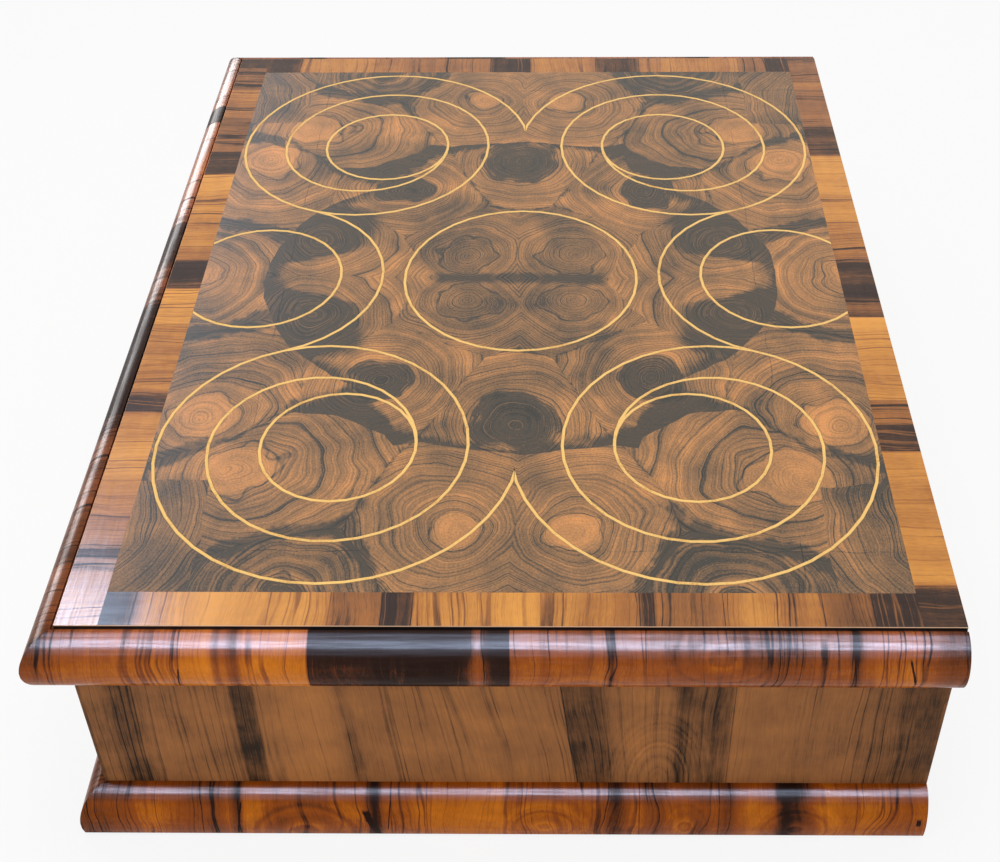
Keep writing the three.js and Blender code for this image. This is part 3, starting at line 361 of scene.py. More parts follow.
def make_groups():
    state = [(label, kind) for label, kind, _ in OYSTER_STATE]
    node_group(
        "Oyster",
        [(label, VECTOR, (0, 0, 0)) for label in ("Place", "Heart", "Lean", "Spread")]
        + [("Pull", FLOAT, 1.0), ("Held Back", FLOAT, 0.0), ("Own Figure", VECTOR, (0, 0, 0)),
           ("Own Spacing", FLOAT, 4.0), ("Own Seed", FLOAT, 0.0)] + OYSTER_STATE,
        state, wire_oyster)
    node_group(
        "Growth Rings",
        [("Place", VECTOR, (0, 0, 0)), ("Ring", FLOAT, 0.0), ("Spacing", FLOAT, 4.0), ("Seed", FLOAT, 0.0)],
        [("Lines", FLOAT), ("Broad", FLOAT), ("Bent Ring", FLOAT)], wire_rings)
    node_group(
        "Wood Streaks",
        [(label, FLOAT, 0.0) for label in ("Along", "Over", "Through", "Wander", "Seed")],
        [("Broad", FLOAT), ("Lines", FLOAT), ("Fine", FLOAT), ("Bent", FLOAT)], wire_streaks)
    node_group(
        "Handling Wear", [("Place", VECTOR, (0, 0, 0)), ("Roughness", FLOAT, 0.4), ("Amount", FLOAT, 0.2)],
        [("Roughness", FLOAT), ("Height", FLOAT)], wire_wear)


def material(name):
    """A new material: its nodes, its Principled shader, and the place on the piece in millimetres."""
    made = bpy.data.materials.new(name)
    made.use_nodes = True
    nodes = Nodes(made.node_tree)
    return made, nodes, made.node_tree.nodes["Principled BSDF"], nodes.millimetres()


def finish_shader(nodes, shader, base, roughness, height, strength, distance, **fixed):
    nodes.feed(shader.inputs["Base Color"], base)
    nodes.feed(shader.inputs["Roughness"], roughness)
    bump = nodes.add("ShaderNodeBump", {"Height": height, "Strength": strength, "Distance": distance})
    nodes.feed(shader.inputs["Normal"], bump.outputs["Normal"])
    for key, value in fixed.items():
        shader.inputs[key.replace("_", " ")].default_value = value


# Hearts of one quarter of the field, in millimetres from its centre along X and Y: place, lean of the rings,
# lean of the piece, pull, tone away from the heart, tone at the heart, the heart's radius, the spacing of the
# rings, and the seam that the piece keeps to. Tones run from 0, dark heartwood, to 1, pale sapwood.
HEARTS = (
    ((22, 31), (0, 0), (0, 0), 1.1, 0.5, 0.42, 18, 2.2, "notch"),
    ((36, 120), (0, 0), (0.1, 0.1), 1.1, 0.56, 0.42, 14, 3.0, "inside"),
    ((4, 190), (0, 0), (0, 0), 0.98, 0.56, 0.64, 12, 3.0, "outside"),
    ((92, 74), (0, -0.1), (0, 0), 0.98, 0.56, 0.22, 17, 2.6, "above"),
    ((126, 0), (0, 0), (0, 0), 1.0, 0.57, 0.21, 24, 2.8, "above"),
    ((205, 26), (0.15, -0.15), (0, 0), 0.84, 0.56, 0.7, 14, 3.2, "below"),
    ((166, 146), (0.1, 0.4), (0.05, 0.3), 0.86, 0.55, 0.69, 17, 3.4, "below"),
    ((127, 167), (0.2, 0.1), (0.3, 0.1), 0.96, 0.53, 0.7, 17, 3.2, "outside"),
    ((246, 103), (0.1, 0), (0, 0), 1.0, 0.38, 0.22, 12, 2.8, "below"),
    ((196, 236), (0, 0), (0, 0), 0.92, 0.43, 0.5, 34, 3.0, "corner"),
)
ROUND_SEAM_CENTRE, ROUND_SEAM_RADIUS = (0, 46, 0), 104
CORNER_X, CORNER_Y = 172, 151
CLAMP_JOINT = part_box("right_lid_clamp")[0].x / MM
BOARD_JOINT = 138
LONG_SEAM = (
    (0, 149), (25, 146.5), (50, 143), (63, 147), (67, 138), (81, 128), (94, 120), (118, 117), (128, 121),
    (140, 132), (160, 150))
SEAM_REACH = 200.0
NOTCH_SLOPE, NOTCH_Y = 0.55, 50.0
# Added to a piece's distance beyond its seam, to keep it out or hold it back, and in the corner to draw it in.
KEPT_OUT, HELD_BACK, DRAWN_IN = 1000.0, 60.0, -200.0
# Widths of the dark wood along the seams, as shares of its widest place.
WEDGE_WIDTHS = ((0, 0), (45.5, .1), (65, .28), (84.5, .42), (110.5, .16), (130, 0))
LENS_WIDTHS = ((0, .12), (12, .2), (24, .9), (40, 1), (56, .8), (75, .1))
RING_SPACING_SHARE = 0.75
JOINT_DEPTH = -0.24
CRACK_DEPTH, CRACK_END = -0.6, 3


def seams(nodes, x, y, smoke):
    """How far each piece is held back by the sawn seams it keeps to, and the dark wood along those seams."""
    seam_x = nodes.table(y, [(away, along / SEAM_REACH) for away, along in LONG_SEAM])
    beyond = nodes.lay(seam_x, -SEAM_REACH, x)
    below = nodes.larger(nodes.sum("GREATER_THAN", beyond, 0.0), nodes.sum("GREATER_THAN", y, LONG_SEAM[-1][0]))
    above = nodes.less(1.0, below)
    from_round = nodes.vector("DISTANCE", nodes.combine(x, y), ROUND_SEAM_CENTRE, out="Value")
    from_round = nodes.less(from_round, ROUND_SEAM_RADIUS)
    outside = nodes.sum("GREATER_THAN", from_round, 0.0)
    inside = nodes.less(1.0, outside)
    notch = nodes.sum("GREATER_THAN", nodes.lay(x, -NOTCH_SLOPE, y), NOTCH_Y)
    corner = nodes.times(nodes.sum("GREATER_THAN", x, CORNER_X), nodes.sum("GREATER_THAN", y, CORNER_Y))
    held = {name: nodes.times(where, far) for name, where, far in (
        ("above", below, KEPT_OUT), ("below", above, HELD_BACK), ("inside", outside, KEPT_OUT),
        ("outside", inside, HELD_BACK), ("notch", notch, KEPT_OUT), ("corner", corner, DRAWN_IN))}
    # Dark wood lies above the long seam, inside the round seam, and in a thin wedge between the middle oysters.
    rough = nodes.lay(smoke, 26.0, -13.0)
    wedge = nodes.less(nodes.lay(nodes.table(y, WEDGE_WIDTHS), 60.0, rough), nodes.absolute(beyond))
    wedge = nodes.times(nodes.step(wedge, -5.0, 4.0), above)
    lens = nodes.plus(nodes.lay(nodes.table(x, LENS_WIDTHS), 52.0, rough), from_round)
    lens = nodes.times(nodes.times(nodes.step(lens, -8.0, 8.0), inside), nodes.step(y, 84.0, 98.0))
    middle = nodes.less(nodes.lay(rough, 0.3, 4.5), x)
    middle = nodes.times(nodes.step(middle, -2.5, 3.0), nodes.step(y, 44.0, 54.0, 1.0, 0.0))
    return held, nodes.larger(nodes.larger(wedge, nodes.times(middle, 0.8)), lens)


def oyster_veneer(colours):
    """Quartered oysters: each heart of the table takes the part of the field that lies nearest to it."""
    made, nodes, shader, place = material("oyster veneer")
    quarter = nodes.vector("ABSOLUTE", nodes.vector("ADD", place, nodes.stray(place, 0.011, 1.0, 14.0)))
    x, y, _ = nodes.split(nodes.vector("ADD", quarter, nodes.stray(place, 0.05, 2.0, 5.0)))
    flat = nodes.combine(x, y)
    smoke = nodes.noise(place, 0.055, 3.0, 0.7)
    held, heartwood = seams(nodes, x, y, smoke)
    state = {label: value for label, _, value in OYSTER_STATE}
    for number, (heart, lean, spread, pull, outer, centre, radius, spacing, seam) in enumerate(HEARTS):
        state = nodes.group("Oyster", {
            "Place": flat, "Heart": (*heart, 0), "Lean": (*lean, 0), "Spread": (*spread, 0), "Pull": pull,
            "Held Back": held[seam], "Own Figure": (outer, centre, radius),
            "Own Spacing": spacing * RING_SPACING_SHARE, "Own Seed": number + 1.0,
            **{label: state[label] for label, _, _ in OYSTER_STATE}})
    rings = nodes.group("Growth Rings", {
        "Place": place, "Ring": state["Ring"], "Spacing": state["Spacing"], "Seed": state["Seed"]})
    outer, centre, radius = nodes.split(state["Figure"])
    inward = nodes.sway(nodes.noise(place, 0.06, 1.0), 14.0, nodes.less(rings["Bent Ring"], radius))
    inside = nodes.step(inward, -4.0, 2.0, 1.0, 0.0)
    tone = nodes.mix(inside, outer, centre, "FLOAT")
    calm = nodes.lay(nodes.times(inside, nodes.step(centre, 0.5, 0.6)), -0.45, 1.0)
    tone = nodes.lay(nodes.step(nodes.absolute(inward), 0.2, 0.9, 1.0, 0.0), -0.2, tone)
    for scale, detail, share in ((0.03, 4.0, 0.86), (0.9, 3.0, 0.5)):
        tone = nodes.sway(nodes.noise(place, scale, detail, 0.6), share, tone)
    tone = nodes.lay(nodes.times(nodes.less(rings["Broad"], 0.5), calm), 0.34, tone)
    # Bark and heartwood darken the rims of the pieces, more so away from the middle of each quarter.
    rim = nodes.less(state["Second"], state["Nearest"])
    border = nodes.step(nodes.vector("DISTANCE", flat, (110, 70, 0), out="Value"), 62.0, 96.0, 0.0, 10.0)
    bark = nodes.step(nodes.less(nodes.lay(smoke, 32.0, rim), border), 11.0, 18.0, 0.7, 0.0)
    bark = nodes.larger(bark, nodes.times(heartwood, 0.9))
    tone = nodes.mix(bark, tone, nodes.lay(tone, 0.36, -0.03), "FLOAT")
    deep = nodes.step(tone, 0.12, 0.3, 1.0, 0.0)
    tone = nodes.lay(nodes.times(rings["Lines"], calm), nodes.mix(deep, -0.28, 0.2, "FLOAT"), tone)
    tone = nodes.lay(nodes.step(rim, 0.2, 0.6, 1.0, 0.0), -0.1, tone)
    # Shrinkage cracks over the joints of the lid's clamps and along its boards.
    across, along, _ = nodes.split(place)
    uneven = nodes.lay(nodes.noise(place, 0.05, 3.0), 4.0, -2.0)
    open_here = nodes.step(nodes.noise(place, 0.03, 3.0, 0.7), 0.45, 0.6)
    for run, at in ((nodes.absolute(across), CLAMP_JOINT), (along, BOARD_JOINT), (along, -BOARD_JOINT)):
        gap = nodes.absolute(nodes.less(nodes.plus(run, uneven), at))
        tone = nodes.lay(nodes.times(nodes.step(gap, 0.1, 0.4, 1.0, 0.0), open_here), JOINT_DEPTH, tone)
    tone = nodes.plus(tone, 0.0, clamp=True)
    base = nodes.ramp(tone, [
        (0.0, graded(colours.oyster_dark, 0.5)), (0.18, colours.oyster_dark), (0.5, colours.oyster_mid),
        (0.88, colours.oyster_light)])
    wear = nodes.wear(place, 0.26, 0.12)
    height = nodes.lay(rings["Lines"], -0.04, wear["Height"])
    finish_shader(nodes, shader, base, wear["Roughness"], height, 0.25, 0.0004, Specular_IOR_Level=0.46)
    return made


def painted_arris_light(nodes, parts, base, dark, light):
    """The lid's outer edge: a painted highlight along its top and painted shade below it, by the moulding. It is
    found by the distance from the rim, which stays with the lid, and not by the normal, which turns with it."""
    from_ends = nodes.less(LID_HIGH.x / MM, nodes.absolute(parts[0]))
    from_sides = nodes.less(LID_HIGH.y / MM, nodes.absolute(parts[1]))
    edge = nodes.step(nodes.sum("MINIMUM", from_ends, from_sides), 0.02, 0.1, 1.0, 0.0)
    highlight_share = nodes.step(parts[2], LID_HIGH.z / MM + 1.1, LID_HIGH.z / MM + 1.4)
    painted_edge_light = nodes.mix(highlight_share, (*graded(dark, 0.25), 1), (*graded(light, 0.9, 0.4), 1))
    return nodes.mix(edge, base, painted_edge_light)


def striped_wood(name, along, over, table, shades, *, joints, seed, wander, streaks, straight, mottle, grain,
                 slants=((0, 0), (1, 0)), roughness=0.3, knots=(), cracks=(), patina=(), arris=False, **fixed):
    """Wood laid across a length: table gives (place, tone) along it in millimetres, joints the seams between
    pieces. Knots are (centre, reach, depth, raggedness, rings), cracks (place, low, high, slope, half width)."""
    made, nodes, shader, place = material(name)
    parts = nodes.split(place)
    third = ({0, 1, 2} - {along, over}).pop()
    run = nodes.lay(parts[over], nodes.table(parts[along], slants), parts[along])
    figure = nodes.group("Wood Streaks", {
        "Along": run, "Over": nodes.sum("DIVIDE", parts[over], straight), "Through": parts[third],
        "Wander": wander, "Seed": seed})
    tone = nodes.table(nodes.mix(0.25, run, figure["Bent"], "FLOAT"), table)
    tone = nodes.sway(figure["Broad"], streaks, tone)
    tone = nodes.sway(figure["Fine"], grain, tone)
    deep = nodes.step(tone, 0.1, 0.3, 1.0, 0.0)
    tone = nodes.lay(figure["Lines"], nodes.mix(deep, -0.8 * streaks, 0.5 * streaks, "FLOAT"), tone)
    tone = nodes.sway(nodes.noise(place, 0.045, 4.0, 0.65), mottle, tone)
    for centre, reach, depth, ragged, turns in knots:
        away = nodes.vector("DIVIDE", nodes.vector("SUBTRACT", place, centre), reach)
        away = nodes.vector("LENGTH", away, out="Value")
        rings = nodes.noise_line(nodes.lay(figure["Fine"], ragged, away), turns, 1.0)
        there = nodes.step(away, 0.6, 1.0, 1.0, 0.0)
        tone = nodes.lay(nodes.times(there, nodes.less(rings, 0.5)), depth, tone)
    # The top of the length is made darker, by height.
    if patina:
        low, high, depth = patina
        tone = nodes.less(tone, nodes.step(parts[2], low, high, 0.0, depth))
    for joint in joints:
        gap = nodes.absolute(nodes.less(run, joint))
        tone = nodes.lay(nodes.step(gap, 0.1, 0.45, 1.0, 0.0), JOINT_DEPTH, tone)
    for at, low, high, slope, half in cracks:
        middle = nodes.lay(parts[over], slope, at - slope * (low + high) / 2)
        gap = nodes.lay(figure["Fine"], half, nodes.absolute(nodes.less(parts[along], middle)))
        inside = nodes.times(nodes.step(parts[over], low, low + CRACK_END),
                             nodes.step(parts[over], high - CRACK_END, high, 1.0, 0.0))
        opened = nodes.times(nodes.step(gap, half, 1.3 * half, 1.0, 0.0), inside)
        tone = nodes.lay(opened, CRACK_DEPTH, tone)
    tone = nodes.plus(tone, 0.0, clamp=True)
    dark, mid, light = shades
    base = nodes.ramp(tone, [
        (0.0, graded(dark, 0.6)), (0.15, dark), (0.5, mid), (0.85, light), (1.0, graded(light, 1.12))])
    # Painted highlight along the top of the lid's outer edge, with painted shade below it.
    if arris:
        base = painted_arris_light(nodes, parts, base, dark, light)
    wear = nodes.wear(place, roughness, 0.16)
    height = nodes.lay(figure["Lines"], -0.06, wear["Height"])
    finish_shader(nodes, shader, base, wear["Roughness"], height, 0.3, 0.0005, **fixed)
    if "Coat_Weight" in fixed:
        brushed = nodes.combine(nodes.times(parts[along], 0.04), parts[over], parts[third])
        full = fixed["Coat_Weight"]
        polish = nodes.step(nodes.noise(brushed, 0.9, 3.0, 0.6), 0.3, 0.7, 0.5 * full, full)
        nodes.feed(shader.inputs["Coat Weight"], nodes.times(polish, nodes.step(tone, 0.12, 0.44, 0.4, 1.0)))
    return made


# Painted shade in the quirk round the lid's edge: its near-black colour, the width in from the edge and its
# heights in millimetres.
QUIRK_SHADE = (0.006, 0.005, 0.004, 1)
QUIRK_SHADE_WIDTH, QUIRK_SHADE_HEIGHTS = 0.5, (143.0, 146.0)


def plain_wood(name, along, over, dark, light, shaded_quirk=()):
    """Plain board wood with its grain along one axis, and painted shade in the quirk round the lid's edge."""
    made, nodes, shader, place = material(name)
    parts = nodes.split(place)
    third = ({0, 1, 2} - {along, over}).pop()
    figure = nodes.group("Wood Streaks", {
        "Along": parts[over], "Over": parts[along], "Through": nodes.times(parts[third], 8.0), "Wander": 10.0,
        "Seed": 3.0})
    tone = nodes.sway(figure["Broad"], 0.9, 0.6)
    tone = nodes.lay(figure["Lines"], -0.35, tone)
    tone = nodes.sway(figure["Fine"], 0.4, tone, clamp=True)
    base = nodes.mix(tone, (*dark, 1), (*light, 1))
    # Painted shade: the board's edge is made near-black in the quirk round the lid's edge.
    if shaded_quirk:
        near_end, near_side = (
            nodes.step(nodes.absolute(parts[axis]), reach - QUIRK_SHADE_WIDTH, reach) for axis, reach in shaded_quirk)
        edge = nodes.times(nodes.larger(near_end, near_side), nodes.step(parts[2], *QUIRK_SHADE_HEIGHTS))
        base = nodes.mix(edge, base, QUIRK_SHADE)
    wear = nodes.wear(place, 0.6, 0.2)
    finish_shader(nodes, shader, base, wear["Roughness"], figure["Fine"], 0.35, 0.0003)
    return made


def boxwood(colours):
    made, nodes, shader, place = material("boxwood line")
    cloud = nodes.noise(place, 0.05, 3.0, 0.6)
    tone = nodes.lay(cloud, 0.7, nodes.times(nodes.noise(place, 0.8, 2.0), 0.5))
    pale = colours.boxwood
    base = nodes.ramp(tone, [
        (0.3, [pale[0] * 0.6, pale[1] * 0.42, pale[2] * 0.3]), (0.55, pale), (0.9, graded(pale, 1.15))])
    wear = nodes.wear(place, 0.34, 0.16)
    finish_shader(nodes, shader, base, wear["Roughness"], wear["Height"], 0.25, 0.0004, Specular_IOR_Level=0.42)
    return made


def lining_paper(colours):
    made, nodes, shader, place = material("lining paper")
    fibre = nodes.noise(place, 1.6, 3.0, 0.7)
    tone = nodes.lay(nodes.noise(place, 0.03, 4.0, 0.65), 0.8, nodes.times(fibre, 0.3))
    red = colours.lining
    base = nodes.ramp(tone, [(0.3, graded(red, 0.55)), (0.6, red), (0.85, graded(red, 1.25, 0.01))])
    finish_shader(nodes, shader, base, 0.85, fibre, 0.4, 0.0002, Specular_IOR_Level=0.2)
    return made


def green_baize(colours):
    made, nodes, shader, place = material("green baize")
    nap = nodes.noise(place, 2.2, 4.0, 0.75)
    tone = nodes.lay(nap, 0.6, nodes.times(nodes.noise(place, 0.05, 3.0), 0.4))
    green = colours.baize
    base = nodes.ramp(tone, [(0.3, graded(green, 0.5)), (0.6, green), (0.8, graded(green, 1.4, 0.01))])
    finish_shader(nodes, shader, base, 0.95, nap, 0.7, 0.0006, Specular_IOR_Level=0.1, Sheen_Weight=0.3)
    return made


def aged_metal(name, shade, roughness, tarnish):
    made, nodes, shader, place = material(name)
    spots = nodes.noise(place, 0.9, 3.0, 0.7)
    tone = nodes.lay(nodes.noise(place, 0.15, 4.0, 0.65), 0.7, nodes.times(spots, 0.4))
    base = nodes.ramp(tone, [(0.35, tarnish), (0.6, shade), (0.9, graded(shade, 1.2))])
    wear = nodes.wear(place, roughness, 0.3)
    height = nodes.lay(spots, 0.3, wear["Height"])
    finish_shader(nodes, shader, base, wear["Roughness"], height, 0.3, 0.0003, Metallic=1.0)
    return made


# Tables of tones along each length, in millimetres from the middle of the box.
# 0 is the darkest wood of that finish and 1 the palest.

BACK_BAND_TONES = (
    (-264, .35), (-240, .45), (-212, .52), (-206, .42), (-170, .45), (-166, .2), (-150, .28), (-134, .15),
    (-131, .78), (-100, .72), (-57, .74), (-54, .6), (-15, .5), (-12, .12), (4, .2), (18, .08), (30, .3),
    (37, .2), (39, .86), (70, .74), (108, .7), (112, .42), (128, .5), (131, .06), (147, .1), (150, .72),
    (190, .66), (238, .7), (241, .22), (264, .12))
FRONT_BAND_TONES = (
    (-264, .2), (-243, .16), (-240, .4), (-222, .36), (-219, .6), (-182, .55), (-178, .4), (-160, .34),
    (-156, .46), (-138, .42), (-135, .1), (-112, .12), (-109, .86), (-80, .7), (-32, .66), (-29, .52),
    (-17, .48), (-15, .08), (10, .12), (12, .88), (44, .8), (47, .66), (100, .6), (107, .1), (117, .12),
    (120, .66), (158, .76), (185, .56), (216, .5), (219, .14), (226, .5), (264, .62))
FAR_BAND_TONES = (
    (-187.5, .2), (-165, .16), (-162, .62), (-112, .66), (-108, .56), (-90, .5), (-86, .42), (-42, .5),
    (-28, .44), (-25, .1), (0, .14), (3, .62), (48, .6), (50, .3), (78, .22), (82, .56), (118, .62), (150, .56),
    (153, .38), (170, .4), (173, .12), (187.5, .1))
NEAR_BAND_TONES = (
    (-187.5, .06), (-175, .08), (-172, .3), (-166, .74), (-140, .84), (-112, .72), (-110, .7), (-84, .68),
    (-82, .46), (-60, .44), (-58, .06), (-46, .06), (-44, .62), (-16, .7), (12, .84), (20, .62), (40, .54),
    (58, .5), (61, .12), (65, .12), (67, .46), (92, .42), (100, .62), (122, .66), (126, .54), (142, .5),
    (145, .42), (165, .36), (168, .08), (187.5, .1))


# Side, place in the material's name, axis of the length, tones and joints.
BANDS = (
    ("back", "back", 0, BACK_BAND_TONES, (-209, -168, -132.5, -55.5, -13.5, 38, 110, 129.5, 148.5, 239.5)),
    ("front", "front", 0, FRONT_BAND_TONES,
     (-241.5, -220.5, -180, -136.5, -110.5, -30.5, -16, 11, 45.5, 118.5, 217.5)),
    ("left", "far", 1, FAR_BAND_TONES, (-163.5, -110, -26.5, 1.5, 49, 80, 151.5, 171.5)),
    ("right", "near", 1, NEAR_BAND_TONES, (-173.5, -111, -83, -59, -45, 59.5, 66, 98, 143.5, 166.5)),
)


def crossbands(colours):
    shades = (colours.band_dark, colours.band_mid, colours.band_light)
    return {
        f"{side}_crossband": striped_wood(
            f"crossband {place}", along, 1 - along, tones, shades, joints=joints, seed=seed, wander=12.0,
            streaks=0.44, straight=1.2, arris=True, mottle=0.2, grain=0.4, Specular_IOR_Level=0.15,
            Coat_Weight=1.0, Coat_IOR=1.38, Coat_Roughness=0.16)
        for seed, (side, place, along, tones, joints) in enumerate(BANDS, 1)}


RIGHT_SIDE_TONES = (
    (-207, .42), (-196, .46), (-188, .3), (-180, .42), (-172, .52), (-150, .58), (-135, .54), (-133.5, .24),
    (-123.5, .26), (-122.5, .66), (-92, .76), (-80, .66), (-76, .4), (-68, .56), (-30, .62), (0, .66),
    (33, .64), (33.6, .3), (46, .28), (54, .52), (66, .68), (77, .6), (83, .22), (88, .42), (105.5, .3),
    (107, .64), (126, .62), (142, .56), (164, .56), (176, .4), (192, .34), (213, .2))
LEFT_SIDE_TONES = (
    (-207, .2), (-190, .3), (-150, .55), (-120, .5), (-117, .2), (-100, .16), (-97, .55), (-40, .6), (0, .5),
    (3, .3), (40, .34), (60, .6), (110, .55), (113, .15), (124, .2), (127, .6), (180, .5), (207, .3))
FRONT_SIDE_TONES = (
    (-264, .3), (-230, .5), (-180, .6), (-177, .2), (-160, .18), (-157, .58), (-100, .62), (-60, .5), (-57, .3),
    (0, .36), (57, .3), (60, .55), (110, .62), (150, .5), (153, .14), (166, .2), (169, .6), (230, .52),
    (264, .25))
BACK_SIDE_TONES = (
    (-264, .4), (-200, .5), (-140, .4), (-90, .56), (-20, .5), (0, .3), (30, .55), (110, .6), (170, .4),
    (220, .5), (264, .35))
LEANING = ((-207, 0), (-115, 0), (-60, .12), (-30, .16), (28, .088), (70, .02), (100, 0), (207, 0))
# Node, material's name, axis of the length, tones, joints, and what only that veneer has.
SIDE_VENEERS = (
    ("right_end_veneer", "end veneer right", 1, RIGHT_SIDE_TONES, (33.2, 106.5), dict(
        slants=LEANING, knots=(((263, 72, 30), (60, 30, 66), 0.7, 0.14, 14.0),))),
    ("left_end_veneer", "end veneer left", 1, LEFT_SIDE_TONES, (-118.5, 1.5, 125.5), {}),
    ("front_veneer", "front veneer", 0, FRONT_SIDE_TONES, (-178, -58, 58, 168), {}),
    ("back_veneer", "back veneer", 0, BACK_SIDE_TONES, (-90, 90), {}),
)


def side_veneers(colours):
    shades = (colours.side_dark, colours.side_mid, colours.side_light)
    return {
        node: striped_wood(
            name, along, 2, tones, shades, joints=joints, seed=seed, wander=14.0, streaks=0.26,
            straight=3.0, roughness=0.45, mottle=0.5, grain=0.6, Specular_IOR_Level=0.05, **marks)
        for seed, (node, name, along, tones, joints, marks) in enumerate(SIDE_VENEERS, 5)}


RIGHT_LID_TONES = (
    (-223, .42), (-208, .5), (-198, .6), (-164, .68), (-151, .66), (-148, .8), (-136, .78), (-133, .36),
    (-130, .66), (-124, .36), (-121, .72), (-91.5, .74), (-90.5, .14), (-66, .12), (-56, .02), (-22, .06),
    (-14, .56), (-8, .14), (-1, .06), (0, .58), (44, .58), (45.5, .08), (48, .54), (74, .46), (104, .52),
    (130, .44), (154, .56), (157, .2), (160, .5), (168, .66), (184, .6), (207.5, .36))


RIGHT_BASE_TONES = (
    (-221, .34), (-204, .4), (-184, .62), (-152, .4), (-144, .6), (-139, .2), (-136, .66), (-104, .44),
    (-76, .62), (-70, .04), (-66, .5), (-50, .66), (-12, .72), (0, .62), (20, .64), (44, .6), (51, .22),
    (60, .64), (73, .4), (80, .7), (93, .42), (100, .6), (106, .34), (118, .7), (130, .56), (136, .04),
    (143, .3), (156, .7), (172, .64), (207.5, .56))
FRONT_TONES = (
    (-280, .4), (-250, .56), (-200, .6), (-197, .1), (-180, .1), (-177, .6), (-120, .7), (-60, .5), (-57, .3),
    (-20, .3), (0, .5), (24, .4), (26, .1), (70, .16), (116, .08), (119, .42), (180, .5), (222, .4), (226, .5),
    (280, .45))
LEFT_TONES = (
    (-223, .5), (-180, .6), (-150, .3), (-147, .66), (-90, .6), (-60, .5), (-57, .1), (-20, .08), (-17, .6),
    (60, .66), (100, .5), (130, .3), (133, .7), (207.5, .5))
MOULDING_LOOKS = {
    "lid": dict(wander=12.0, patina=(136.0, 146.0, 0.16), Coat_IOR=1.32),
    "base": dict(wander=16.0, patina=(22.0, 27.0, 0.12), Coat_IOR=1.24),
}
MOULDING_FIRST_SEED = {"lid": 11.0, "base": 14.0}
# Tones, joints and marks of the photographed end's mouldings.
RIGHT_LENGTHS = {
    "lid": (RIGHT_LID_TONES, (-149.7, -90.9, -0.3, 155.8, 168.5), dict(
        knots=(((270, 34, 118), (60, 26, 20), 0.5, 0.1, 6.0), ((270, 96, 142), (60, 34, 22), 0.4, 0.1, 5.0)),
        cracks=((182.6, 126, 143, -0.25, 0.8), (-150.5, 122, 138, 0.1, 0.5)))),
    "base": (RIGHT_BASE_TONES, (-139, -62, -44, 63, 103, 172), dict(
        knots=(((270, -106, 6), (60, 40, 27), 0.8, 0.12, 5.0), ((270, 15, 10), (60, 30, 20), 0.6, 0.12, 6.0),
               ((270, 86, 10), (60, 14, 17), 0.5, 0.1, 4.0), ((270, 142, 8), (60, 32, 24), 0.5, 0.1, 6.0)),
        cracks=((-139, 3, 25, 0.15, 0.7), (-71.5, -1, 21, -0.35, 2.6), (-63, 6, 28, 0.1, 0.4),
                (203.5, 10, 17, 0.0, 1.6)))),
}


def moulding_finishes(colours, part):
    """Finishes of the three lengths of the lid's or the base's moulding."""
    shades = (colours.moulding_dark, colours.moulding_mid, colours.moulding_light)
    tones, joints, marks = RIGHT_LENGTHS[part]
    lengths = (
        ("right", 1, tones, joints, marks), ("front", 0, FRONT_TONES, (-198, -58, 25, 117.5, 224), {}),
        ("left", 1, LEFT_TONES, (-148, -58, 131), {}))
    return {
        side: striped_wood(
            f"{part} moulding {side}", along, 2, tones, shades, joints=joints,
            seed=MOULDING_FIRST_SEED[part] + number, streaks=0.34, straight=0.7, roughness=0.4, mottle=0.28,
            grain=0.36, Specular_IOR_Level=0.0, Coat_Weight=1.0, Coat_Roughness=0.22, **MOULDING_LOOKS[part],
            **marks)
        for number, (side, along, tones, joints, marks) in enumerate(lengths)}


# Modelling helpers


def start_piece(add, **settings):
    """Adds a primitive with nothing else selected, and leaves its place in its mesh."""
    if bpy.context.object and bpy.context.object.mode != "OBJECT":
        bpy.ops.object.mode_set(mode="OBJECT")
    bpy.ops.object.select_all(action="DESELECT")
    add(**settings)
    bpy.ops.object.transform_apply(location=True, rotation=True, scale=True)
    return bpy.context.object


def choose(piece, domain, test):
    """Selects the faces or edges whose middle passes the test, and leaves the piece in edit mode."""
    bpy.ops.object.mode_set(mode="OBJECT")
    mesh = piece.data
    for group in (mesh.vertices, mesh.edges, mesh.polygons):
        group.foreach_set("select", [False] * len(group))
    for item in getattr(mesh, domain):
        corners = [mesh.vertices[v].co for v in item.vertices]
        if test(sum(corners, Vector()) / len(corners), corners):
            item.select = True
    bpy.ops.object.mode_set(mode="EDIT")
    bpy.ops.mesh.select_mode(type={"polygons": "FACE", "edges": "EDGE"}[domain])


def slice_off(place, outward):
    """Cuts away what lies beyond a plane, on the side that outward points to, and closes the cut."""
    bpy.ops.mesh.select_all(action="SELECT")
    bpy.ops.mesh.bisect(plane_co=place, plane_no=outward, use_fill=True, clear_outer=True)


def dress(piece, name, body, slot, finish, *nodes):
    """Names a finished piece, gives it its finish and puts it in the place of its CAD nodes."""
    if bpy.context.object.mode != "OBJECT":
        bpy.ops.object.mode_set(mode="OBJECT")
    piece.name = name
    piece.data.name = name
    piece.data.materials.clear()
    piece.data.materials.append(finish)
    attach(piece, body)
    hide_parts(*nodes)


PROFILE_SIDES = 160
WEAR_STEPS = 6
SMOOTH_BELOW = math.radians(28)
MITRE_GAP = 0.00014
NEAR = 1e-5
LID_WIDEST_SHARE, BASE_WIDEST_SHARE = 0.6, 0.73


